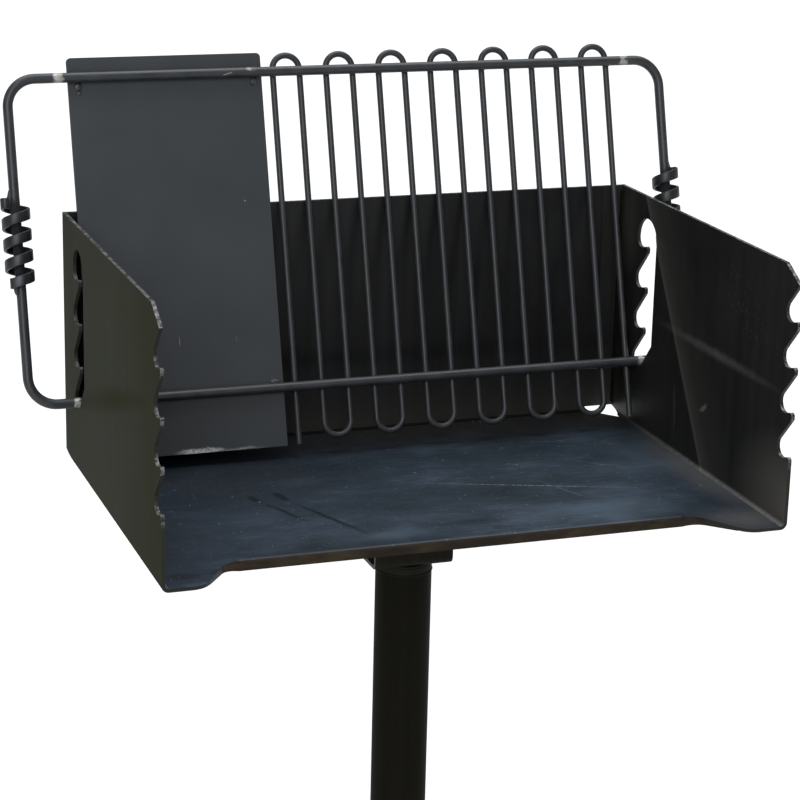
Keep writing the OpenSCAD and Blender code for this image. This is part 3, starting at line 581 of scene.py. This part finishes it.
def run_on(bm, edges, step):
    """Sweeps a ring straight on and returns the new ring."""
    made = bmesh.ops.extrude_edge_only(bm, edges=edges)["geom"]
    verts = [g for g in made if isinstance(g, bmesh.types.BMVert)]
    bmesh.ops.translate(bm, verts=verts, vec=step)
    fresh = set(verts)
    return [g for g in made if isinstance(g, bmesh.types.BMEdge) and fresh.issuperset(g.verts)]


def bend_on(bm, edges, centre, axis, angle, steps, rise=Vector()):
    """Sweeps a ring round an axis and returns the last ring."""
    made = bmesh.ops.spin(
        bm, geom=ring_verts(edges) + list(edges), cent=centre, axis=axis, dvec=rise / steps, angle=angle,
        steps=steps, use_merge=False, use_duplicate=False)["geom_last"]
    return [g for g in made if isinstance(g, bmesh.types.BMEdge)]


def cap(bm, edges):
    """Closes a ring with one face."""
    bmesh.ops.contextual_create(bm, geom=list(edges))


def settle(bm):
    """Merges doubles and points the faces outwards."""
    bmesh.ops.remove_doubles(bm, verts=bm.verts, dist=1e-6)
    bmesh.ops.recalc_face_normals(bm, faces=bm.faces)


def make_piece(bm, name, body, materials, replaced, crease=38.0, weighted=False):
    """Turns a finished mesh into a piece of the object, which stands for a node of the frame."""
    mesh = bpy.data.meshes.new(name)
    bm.to_mesh(mesh)
    bm.free()
    for material in materials:
        mesh.materials.append(bpy.data.materials[material])
    mesh.polygons.foreach_set("use_smooth", [True] * len(mesh.polygons))
    mesh.set_sharp_from_angle(angle=math.radians(crease))
    piece = bpy.data.objects.new(name, mesh)
    bpy.context.scene.collection.objects.link(piece)
    if weighted:
        flat = piece.modifiers.new("Even shading", "WEIGHTED_NORMAL")
        flat.keep_sharp = True
    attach(piece, body)
    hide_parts(replaced)


def soften(bm, offset):
    """Rounds off the edges of a mesh that turn by more than 28 degrees."""
    sharp = math.radians(28)
    edges = [e for e in bm.edges if len(e.link_faces) == 2 and e.calc_face_angle(0.0) > sharp]
    bmesh.ops.bevel(
        bm, geom=edges, offset=offset, offset_type="OFFSET", segments=2, profile=0.5, affect="EDGES",
        clamp_overlap=True, material=-1)


def softened_copy(node, offset):
    """A copy of a solid's mesh with its sharp edges rounded off."""
    bm = bmesh.new()
    bm.from_mesh(frame["nodes"][node].data)
    bmesh.ops.remove_doubles(bm, verts=bm.verts, dist=1e-6)
    bmesh.ops.dissolve_limit(bm, angle_limit=math.radians(0.4), verts=bm.verts, edges=bm.edges)
    soften(bm, offset)
    return bm


def weld_lump(bm, place, sizes, seed, rough):
    """One weld dab: a round lump pulled to size, with an uneven skin."""
    made = bmesh.ops.create_icosphere(bm, subdivisions=3, radius=1.0)["verts"]
    for v in made:
        wave = noise.noise(v.co * 1.7 + Vector((seed * 3.7, seed, 0)))
        v.co *= 1.0 + rough * wave
    bmesh.ops.scale(bm, verts=made, vec=sizes)
    bmesh.ops.transform(bm, verts=made, matrix=place)
    return made


def weld_bead(bm, start, end, radius, ripple, seed):
    """A rippled weld bead between two points, thinner towards its closed ends."""
    end_size = 0.35
    rings_in_ripple = 3
    along = end - start
    turn = along.to_track_quat("Z", "Y").to_matrix().to_4x4()
    ring = circle_edges(bm, radius * end_size, 12, Matrix.Translation(start) @ turn)
    cap(bm, ring)
    count = max(4, round(along.length / (ripple / rings_in_ripple)))
    step = along / count
    middle = start.copy()
    size = end_size
    for i in range(1, count + 1):
        ring = run_on(bm, ring, step)
        middle += step
        fullness = math.sqrt(min(1.0, min(i, count - i) * step.length / radius))
        uneven = 0.05 * noise.noise(middle * 160 + Vector((seed, 0, 0)))
        wave = 0.93 + 0.07 * math.cos(2 * math.pi * i / rings_in_ripple) + uneven
        aim = (end_size + (1 - end_size) * fullness) * wave
        grow = Vector((1, 1, 1)) * aim / size
        bmesh.ops.scale(bm, verts=ring_verts(ring), vec=grow, space=Matrix.Translation(-middle))
        size = aim
    cap(bm, ring)


# Firebox

def sort_sheet_faces(bm):
    """Gives each face of the folded sheet its finish."""
    outside, inside, bottom, lip, edge, corner = range(6)
    thick = SHEET * MM
    near = 0.8 * MM
    lip_y, lip_half = TIP_Y + 0.0545, 0.22
    for face in bm.faces:
        middle, normal = face.calc_center_median(), face.normal
        at_side = abs(middle.x) > WALL_X - 2 * thick - near / 2
        inward = normal.x * middle.x < 0
        if at_side and middle.z > FLOOR_Z + thick:
            flatness = abs(normal.x)
            flat = inside if inward else outside
            face.material_index = flat if flatness > 0.97 else edge if flatness < 0.3 else corner
        elif at_side and abs(normal.y) < 0.3:
            face.material_index = inside if inward and normal.z > -0.2 else outside
        elif normal.z > 0.85 and abs(middle.z - FLOOR_Z) < near:
            face.material_index = bottom
        elif normal.z < -0.85:
            face.material_index = outside
        elif middle.y < lip_y and abs(middle.x) < lip_half:
            face.material_index = lip
        elif normal.y < -0.25 and middle.z < FLOOR_Z - thick:
            face.material_index = lip
        else:
            face.material_index = edge


class GRILL_OT_firebox(bpy.types.Operator):
    """Makes the folded firebox sheet, its back panel and the seam welds"""
    bl_idname = "grill.firebox"
    bl_label = "Firebox"

    def execute(self, context):
        sizes = context.scene.grill_sheet
        sheet = softened_copy("firebox_shell", sizes.edge_round)
        sort_sheet_faces(sheet)
        make_piece(
            sheet, "firebox_sheet", "firebox",
            ["outside_paint", "inside_paint", "floor_paint", "lip_paint", "edge_paint", "edge_steel"],
            "firebox_shell", weighted=True)

        back = softened_copy("back_panel", sizes.edge_round)
        for face in back.faces:
            face.material_index = 0 if face.normal.y > 0.85 else 1 if face.normal.y < -0.85 else 2
        make_piece(
            back, "rear_sheet", "firebox", ["outside_paint", "inside_paint", "edge_paint"],
            "back_panel", weighted=True)

        # the beads lie a little out of the corners, and the lower one stops short of the sides
        low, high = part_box("corner_welds")
        seams = bmesh.new()
        inset = sizes.thickness + sizes.bead * 0.09
        x, y, z = WALL_X - inset, BACK_Y - inset, panel_low.z + inset
        half_seam = 0.268
        for start, end, size, seed in (
                ((-x, y, low.z + 0.008), (-x, y, high.z - 0.001), 0.9, 1.0),
                ((x, y, low.z + 0.008), (x, y, high.z - 0.001), 0.9, 2.0),
                ((-half_seam, y, z), (half_seam, y, z), 0.8, 3.0)):
            weld_bead(seams, Vector(start), Vector(end), sizes.bead * size, sizes.ripple, seed)
        settle(seams)
        make_piece(
            seams, "rear_seam_welds", "firebox", ["post_paint"], "corner_welds", crease=60)
        return {"FINISHED"}


class GRILL_OT_mount(bpy.types.Operator):
    """Makes the channel under the firebox, its welds and the swivel hardware"""
    bl_idname = "grill.mount"
    bl_label = "Swivel mount"

    def execute(self, context):
        sizes = context.scene.grill_sheet
        channel = softened_copy("mounting_channel", sizes.plate_round)
        cut_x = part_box("mounting_channel")[1].x - sizes.plate_round
        for face in channel.faces:
            cut = abs(face.calc_center_median().x) > cut_x and abs(face.normal.x) > 0.5
            face.material_index = 1 if cut else 0
        make_piece(
            channel, "swivel_channel", "firebox", ["channel_paint", "edge_paint"],
            "mounting_channel", weighted=True)

        low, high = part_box("channel_welds")
        beads = bmesh.new()
        left, right, z = low.x + 0.003, high.x - 0.003, high.z - 0.0008
        for start, end, seed in (
                ((left, low.y + 0.0015, z), (left, high.y - 0.008, z), 4.0),
                ((right, low.y + 0.0015, z), (right, high.y - 0.008, z), 5.0),
                ((low.x + 0.010, high.y - 0.003, z), (high.x - 0.010, high.y - 0.003, z), 6.0)):
            weld_bead(beads, Vector(start), Vector(end), sizes.bead, sizes.ripple, seed)
        settle(beads)
        make_piece(
            beads, "channel_seam_welds", "firebox", ["post_paint"], "channel_welds",
            crease=60)

        for node in ("swivel_bolt", "bearing_washer", "nut_washer", "lock_nut"):
            part = softened_copy(node, sizes.plate_round / 2)
            # the bearing washer gets the cap paint, lightened against the channel's shade
            finish = "shade_lifted_cap_paint" if node == "bearing_washer" else "zinc_plate"
            make_piece(part, node + "_finished", "stand", [finish], node, weighted=True)
        return {"FINISHED"}


class GRILL_OT_post(bpy.types.Operator):
    """Makes the post with its cap, foot and welds"""
    bl_idname = "grill.post"
    bl_label = "Post and base"

    def execute(self, context):
        sizes = context.scene.grill_sheet
        # the cap disc gets the cap paint, lightened against the channel's shade
        for node, name, finish in (
                ("post_pipe", "post_tube", "post_paint"), ("post_cap", "post_top_disc", "shade_lifted_cap_paint"),
                ("base_plate", "foot_plate", "post_paint")):
            part = softened_copy(node, sizes.plate_round)
            make_piece(part, name, "stand", [finish], node, weighted=True)

        # each ring weld: its bead's size and the bead's place, outwards and up, as shares of the weld's leg
        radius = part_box("post_pipe")[1].x
        upright = Matrix.Rotation(math.radians(90), 4, "X")
        # the top weld gets the cap paint, lightened against the channel's shade
        for node, name, finish, size, out, up in (
                ("cap_weld", "post_top_weld", "shade_lifted_cap_paint", 0.5, 0.0, 0.5),
                ("foot_weld_ring", "foot_weld_bead", "post_paint", 0.62, 0.28, 0.28)):
            low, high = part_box(node)
            leg = high.x - radius
            middle = Matrix.Translation((radius + leg * out, 0, low.z + (high.z - low.z) * up))
            ring = bmesh.new()
            edges = circle_edges(ring, leg * size, 12, middle @ upright)
            bmesh.ops.spin(
                ring, geom=ring_verts(edges) + edges, cent=(0, 0, 0), axis=(0, 0, 1), angle=2 * math.pi,
                steps=120, use_merge=True, use_duplicate=False)
            settle(ring)
            for v in ring.verts:
                angle = math.atan2(v.co.y, v.co.x)
                wave = 1.0 + 0.010 * math.cos(40 * angle) + 0.008 * noise.noise(v.co * 120)
                far = v.co.xy.length
                v.co.xy = v.co.xy * (radius + (far - radius) * wave) / far
            make_piece(ring, name, "stand", [finish], node, crease=60)
        return {"FINISHED"}


# Grate

def grate_place(sizes):
    """From the grate's own place (across, up the grate, towards the front) to the frame."""
    s, c = math.sin(sizes.lean), math.cos(sizes.lean)
    return Matrix.Translation(RAIL_AT) @ Matrix(((1, 0, 0, 0), (0, s, -c, 0), (0, c, s, 0), (0, 0, 0, 1)))


def first_leg(sizes):
    """Place of the hairpin rod's first leg, from the middle."""
    return sizes.last_leg - (2 * sizes.hairpins - 1) * sizes.bar_pitch


def finish_grate_piece(bm, name, finish, node, sizes, crease=38.0, weighted=False, place=None):
    """Puts a mesh made in the grate's own place where the frame has it, and makes it a piece."""
    bmesh.ops.transform(bm, verts=bm.verts, matrix=place or grate_place(sizes))
    settle(bm)
    make_piece(bm, name, "grate", [finish], node, crease, weighted)


class GRILL_OT_loop(bpy.types.Operator):
    """Makes the closed rod loop with its two rails"""
    bl_idname = "grill.loop"
    bl_label = "Grate loop"

    def execute(self, context):
        sizes = context.scene.grill_grate
        bend = sizes.loop_bend
        across, up = sizes.loop_width - 2 * bend, sizes.rail_gap - 2 * bend
        bm = bmesh.new()
        corner = Vector((-across / 2, 0, 0))
        turn = Matrix.Rotation(math.radians(90), 4, "Y")
        edges = circle_edges(bm, sizes.loop_rod / 2, 28, Matrix.Translation(corner) @ turn)
        heading = Vector((1, 0, 0))
        for length in (across, up, across, up):
            for _ in range(4):
                edges = run_on(bm, edges, heading * length / 4)
            corner += heading * length
            left = Vector((-heading.y, heading.x, 0))
            middle = corner + left * bend
            edges = bend_on(bm, edges, middle, Vector((0, 0, 1)), math.radians(90), 14)
            corner = middle + heading * bend
            heading = left
        bmesh.ops.translate(bm, verts=bm.verts, vec=(sizes.loop_shift, 0, 0))
        finish_grate_piece(bm, "grate_loop", "rod_paint", "loop_frame", sizes)
        return {"FINISHED"}


class GRILL_OT_hairpins(bpy.types.Operator):
    """Makes the rod bent to and fro across both rails"""
    bl_idname = "grill.hairpins"
    bl_label = "Hairpin rod"

    def execute(self, context):
        sizes = context.scene.grill_grate
        bend = sizes.bar_pitch / 2
        last = 2 * sizes.hairpins - 1
        first = first_leg(sizes)
        bm = bmesh.new()
        start = Matrix.Translation((first, sizes.free_end, 0)) @ Matrix.Rotation(math.radians(90), 4, "X")
        edges = circle_edges(bm, sizes.bar_rod / 2, 20, start)
        cap(bm, edges)
        place = sizes.free_end
        for leg in range(last + 1):
            upward = leg % 2 == 0
            aim = sizes.front_bend if upward else sizes.free_end if leg == last else sizes.rear_bend
            for _ in range(4):
                edges = run_on(bm, edges, Vector((0, (aim - place) / 4, 0)))
            if leg < last:
                middle = Vector((first + leg * sizes.bar_pitch + bend, aim, 0))
                edges = bend_on(bm, edges, middle, Vector((0, 0, -1 if upward else 1)), math.pi, 20)
            place = aim
        cap(bm, edges)
        bmesh.ops.translate(bm, verts=bm.verts, vec=(0, 0, -(sizes.loop_rod + sizes.bar_rod) / 2))
        finish_grate_piece(bm, "grate_hairpin_rod", "rod_paint", "serpentine_rod", sizes)
        return {"FINISHED"}


class GRILL_OT_griddle(bpy.types.Operator):
    """Makes the solid cooking plate"""
    bl_idname = "grill.griddle"
    bl_label = "Cooking plate"

    def execute(self, context):
        sizes = context.scene.grill_grate
        low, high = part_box("cooking_plate")
        thick = context.scene.grill_sheet.thickness
        middle = Vector((low.x + high.x, sizes.plate_top + sizes.plate_foot, -(sizes.loop_rod + thick))) / 2
        size = Matrix.Diagonal((high.x - low.x, sizes.plate_top - sizes.plate_foot, thick, 1.0))
        plate = bmesh.new()
        bmesh.ops.create_cube(plate, size=1.0, matrix=Matrix.Translation(middle) @ size)
        upright = [e for e in plate.edges if abs(e.verts[0].co.z - e.verts[1].co.z) > thick / 2]
        for corners, radius in (
                ([e for e in upright if e.verts[0].co.y > middle.y], sizes.plate_corner),
                ([e for e in upright if e.verts[0].co.y < middle.y], sizes.plate_corner / 4)):
            bmesh.ops.bevel(
                plate, geom=corners, offset=radius, offset_type="OFFSET", segments=6, profile=0.5,
                affect="EDGES", clamp_overlap=True, material=-1)
        soften(plate, 0.6 * MM)
        finish_grate_piece(plate, "griddle_plate", "griddle_paint", "cooking_plate", sizes, weighted=True)
        return {"FINISHED"}


def coil_frame(sizes, side):
    """From a coil's own place, its axis upwards and its ends outwards, to the frame."""
    rise = sizes.coil_turns * sizes.coil_pitch
    turn = Matrix(((side, 0, 0, 0), (0, 0, 1, 0), (0, -side, 0, 0), (0, 0, 0, 1)))
    middle = Vector((sizes.loop_shift + side * sizes.loop_width / 2, sizes.rail_gap / 2 - rise / 2, 0))
    return grate_place(sizes) @ Matrix.Translation(middle) @ turn


def coil_end(sizes):
    """How far an end turns in, how far round the rod that takes it, and how far out the bend stops."""
    centre = (sizes.coil - sizes.strip) / 2 - sizes.coil_end
    far = math.acos(-sizes.coil_end / centre)
    out, across = centre + sizes.coil_end * math.cos(far), sizes.coil_end * math.sin(far)
    return far, math.atan2(across, out), math.hypot(out, across)


def from_axis(angle):
    """The way out from a coil's axis at an angle round it."""
    return Vector((math.cos(angle), math.sin(angle), 0))


class GRILL_OT_coils(bpy.types.Operator):
    """Winds the two coil handles from flat strip"""
    bl_idname = "grill.coils"
    bl_label = "Coil handles"

    def execute(self, context):
        sizes = context.scene.grill_grate
        far, lead, reach = coil_end(sizes)
        into_rod = reach - sizes.loop_rod / 2 + 0.4 * MM
        rise = sizes.coil_turns * sizes.coil_pitch
        sweep = 2 * math.pi * sizes.coil_turns
        up = Vector((0, 0, 1))
        half, thick, corner = sizes.strip_width / 2, sizes.strip / 2, 0.9 * MM
        across = (sizes.coil - sizes.strip) / 2
        inner = across - sizes.coil_end
        for side, name in ((-1, "left_coil"), (1, "right_coil")):
            bm = bmesh.new()
            # the strip's section, with rounded corners, at the start of the turns
            facing = from_axis(-sweep)
            verts = []
            for u, v, quarter in ((1, -1, -90), (1, 1, 0), (-1, 1, 90), (-1, -1, 180)):
                for part in (0, 30, 60, 90):
                    angle = math.radians(quarter + part)
                    out = u * (thick - corner) + corner * math.cos(angle)
                    high = v * (half - corner) + corner * math.sin(angle)
                    verts.append(bm.verts.new(facing * (across + out) + up * high))
            edges = [bm.edges.new((verts[i - 1], verts[i])) for i in range(len(verts))]
            # the lower end: a copy of the section bent in to the rod
            copy = bmesh.ops.duplicate(bm, geom=verts + edges)["geom"]
            low_edges = [g for g in copy if isinstance(g, bmesh.types.BMEdge)]
            low_edges = bend_on(bm, low_edges, facing * inner, up, -far, 10)
            low_edges = run_on(bm, low_edges, -from_axis(-sweep - lead) * into_rod)
            cap(bm, low_edges)
            # the turns, then the upper end
            edges = bend_on(bm, edges, Vector(), up, sweep, round(sizes.coil_turns * 40), up * rise)
            edges = bend_on(bm, edges, from_axis(0) * inner + up * rise, up, far, 10)
            edges = run_on(bm, edges, -from_axis(lead) * into_rod)
            cap(bm, edges)
            finish_grate_piece(
                bm, name, name + "_paint", name + "_handle", sizes, 50, place=coil_frame(sizes, side))
        return {"FINISHED"}


class GRILL_OT_grate_welds(bpy.types.Operator):
    """Makes the weld dabs that join rods, plate and coils"""
    bl_idname = "grill.grate_welds"
    bl_label = "Grate welds"

    def execute(self, context):
        sizes = context.scene.grill_grate
        rail = sizes.loop_rod / 2
        # one dab where each leg crosses a rail, on the rail's inner side
        for up, inner, name in ((sizes.rail_gap, -1, "front_rail"), (0.0, 1, "rear_rail")):
            bm = bmesh.new()
            for i in range(2 * sizes.hairpins):
                x = first_leg(sizes) + i * sizes.bar_pitch + 0.6 * MM * math.sin(5 * i)
                place = Matrix.Translation((x, up + inner * 1.6 * MM, -rail - 0.4 * MM))
                weld_lump(bm, place, (0.0041, 0.0036, 0.0030), i + up * 40, 0.22)
            finish_grate_piece(bm, name + "_dabs", "weld_paint", name + "_welds", sizes, 70)

        # the plate's four dabs, and a second drop of weld metal below the upper left one
        low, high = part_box("plate_welds")
        left, right, on_rail = low.x + 0.0055, high.x - 0.0045, -rail + 0.0002
        front, rear = (0.0040, 0.0044, 0.0018), (0.0058, 0.0024, 0.0018)
        bm = bmesh.new()
        for x, y, dab, seed in (
                (left, 0.0062, rear, 1), (right, 0.0062, rear, 2),
                (left, sizes.rail_gap - 0.0088, front, 1 + sizes.rail_gap * 10),
                (right, sizes.rail_gap - 0.0088, front, 2 + sizes.rail_gap * 10),
                (low.x + 0.0062, sizes.rail_gap - 0.0150, (0.0024, 0.0026, 0.0011), 5)):
            weld_lump(bm, Matrix.Translation((x, y, on_rail)), dab, seed, 0.3)
        finish_grate_piece(bm, "griddle_dabs", "weld_paint", "plate_welds", sizes, 70)

        # each end of a coil meets the side rod under a dab that thins out along the rod
        lead = coil_end(sizes)[1]
        rise = sizes.coil_turns * sizes.coil_pitch
        low_angle = -2 * math.pi * sizes.coil_turns - lead
        dab = Vector((0.0031, 0.0030, 0.0085))
        edge = sizes.strip_width / 2 + 0.2 * MM
        for side, name in ((-1, "left_coil"), (1, "right_coil")):
            bm = bmesh.new()
            for angle, z, way in ((lead, rise + edge, 1), (low_angle, -edge, -1)):
                out = from_axis(angle)
                middle = out * (rail + 0.2 * MM) + Vector((0, 0, z))
                turned = Matrix.Translation(middle) @ Matrix.Rotation(angle, 4, "Z")
                root = out * (rail - 0.8 * MM)
                for v in weld_lump(bm, turned, dab, 3 + angle, 0.2):
                    away = way * (v.co.z - z) / dab.z
                    v.co.xy = root.xy + (v.co.xy - root.xy) * (1.0 - 0.45 * max(0.0, away))
            finish_grate_piece(
                bm, name + "_dabs", "weld_paint", name + "_welds", sizes, 70, place=coil_frame(sizes, side))
        return {"FINISHED"}


# Stage

class GRILL_OT_stage(bpy.types.Operator):
    """Sets up the pale floor, soft lights and camera"""
    bl_idname = "grill.stage"
    bl_label = "Stage"

    def execute(self, context):
        scene = context.scene
        stage = scene.grill_stage
        tree, where = start_material("pale_studio_floor")
        cloud = add(tree, "TexNoise", where, 0.4, 2.0)
        close_material(tree, add(tree, "ValToRGB", cloud, stops=[(0.0, "d4d4d2"), (1.0, "d8d8d6")]), 0.9)
        bm = bmesh.new()
        bmesh.ops.create_grid(bm, x_segments=2, y_segments=2, size=stage.floor_size / 2)
        mesh = bpy.data.meshes.new("studio_floor")
        bm.to_mesh(mesh)
        bm.free()
        mesh.materials.append(bpy.data.materials["pale_studio_floor"])
        floor = bpy.data.objects.new("studio_floor", mesh)
        scene.collection.objects.link(floor)

        # the surround is seen as white, and lights the object less than that
        world = bpy.data.worlds.new("white_surround")
        world.use_nodes = True
        world.node_tree.nodes.clear()
        seen = add(world.node_tree, "LightPath").outputs["Is Camera Ray"]
        strength = add(world.node_tree, "MapRange", seen, 0.0, 1.0, stage.sky, 1.0)
        sky = add(world.node_tree, "Background", "fbfcff", strength)
        add(world.node_tree, "OutputWorld", sky)
        scene.world = world

        for name, strength, spread, comes_from in (
                ("wide_top_light", stage.top_strength, stage.top_spread, (0.10, 0.14, 1.0)),
                ("soft_front_light", stage.front_strength, stage.front_spread, (-0.45, -1.0, 0.55))):
            light = bpy.data.lights.new(name, "SUN")
            light.energy = strength
            light.angle = spread
            light.color = (0.95, 0.975, 1.0)
            lamp = bpy.data.objects.new(name, light)
            lamp.rotation_euler = Vector(comes_from).to_track_quat("Z", "Y").to_euler()
            lamp.location = Vector(comes_from) * 4
            scene.collection.objects.link(lamp)
        scene.view_settings.view_transform = "Standard"

        camera = bpy.data.cameras.new("camera")
        camera.sensor_fit = "HORIZONTAL"
        camera.sensor_width = 36.0
        camera.lens = stage.lens
        camera.clip_end = 200.0
        holder = bpy.data.objects.new("camera", camera)
        level = Vector((math.sin(stage.yaw), math.cos(stage.yaw), 0))
        ahead = level * math.cos(stage.pitch) - Vector((0, 0, math.sin(stage.pitch)))
        right = Vector((level.y, -level.x, 0))
        upright = Matrix((right, right.cross(ahead), -ahead)).transposed().to_4x4()
        rolled = Matrix.Rotation(stage.roll, 4, "Z")
        holder.matrix_world = Matrix.Translation(Vector(stage.place)) @ upright @ rolled
        scene.collection.objects.link(holder)
        scene.camera = holder
        return {"FINISHED"}


STEPS = (
    "finishes", "firebox", "mount", "post", "loop", "hairpins", "griddle", "coils", "grate_welds", "stage")


class GRILL_PT_panel(bpy.types.Panel):
    """Lists the grill's pieces in build order"""
    bl_idname = "GRILL_PT_panel"
    bl_label = "Pedestal grill"
    bl_space_type = "VIEW_3D"
    bl_region_type = "UI"
    bl_category = "Grill"

    def draw(self, context):
        for step in STEPS:
            self.layout.operator("grill." + step)


SETTINGS = {
    "grill_sheet": GrillSheetSizes, "grill_grate": GrillGrateSizes, "grill_colours": GrillColours,
    "grill_stage": GrillStage}
CLASSES = (
    *SETTINGS.values(), GRILL_OT_finishes, GRILL_OT_firebox, GRILL_OT_mount, GRILL_OT_post, GRILL_OT_loop,
    GRILL_OT_hairpins, GRILL_OT_griddle, GRILL_OT_coils, GRILL_OT_grate_welds, GRILL_OT_stage,
    GRILL_PT_panel)


def register():
    """Adds the classes, and the settings to the scene."""
    for item in CLASSES:
        bpy.utils.register_class(item)
    for name, group in SETTINGS.items():
        setattr(bpy.types.Scene, name, bpy.props.PointerProperty(type=group))


def unregister():
    """Takes the settings and the classes away again."""
    for name in SETTINGS:
        delattr(bpy.types.Scene, name)
    for item in reversed(CLASSES):
        bpy.utils.unregister_class(item)


def main():
    """Builds the grill and its stage."""
    register()
    for step in STEPS:
        if getattr(bpy.ops.grill, step)() != {"FINISHED"}:
            raise RuntimeError("a step didn't finish: " + step)


if __name__ == "__main__":
    main()
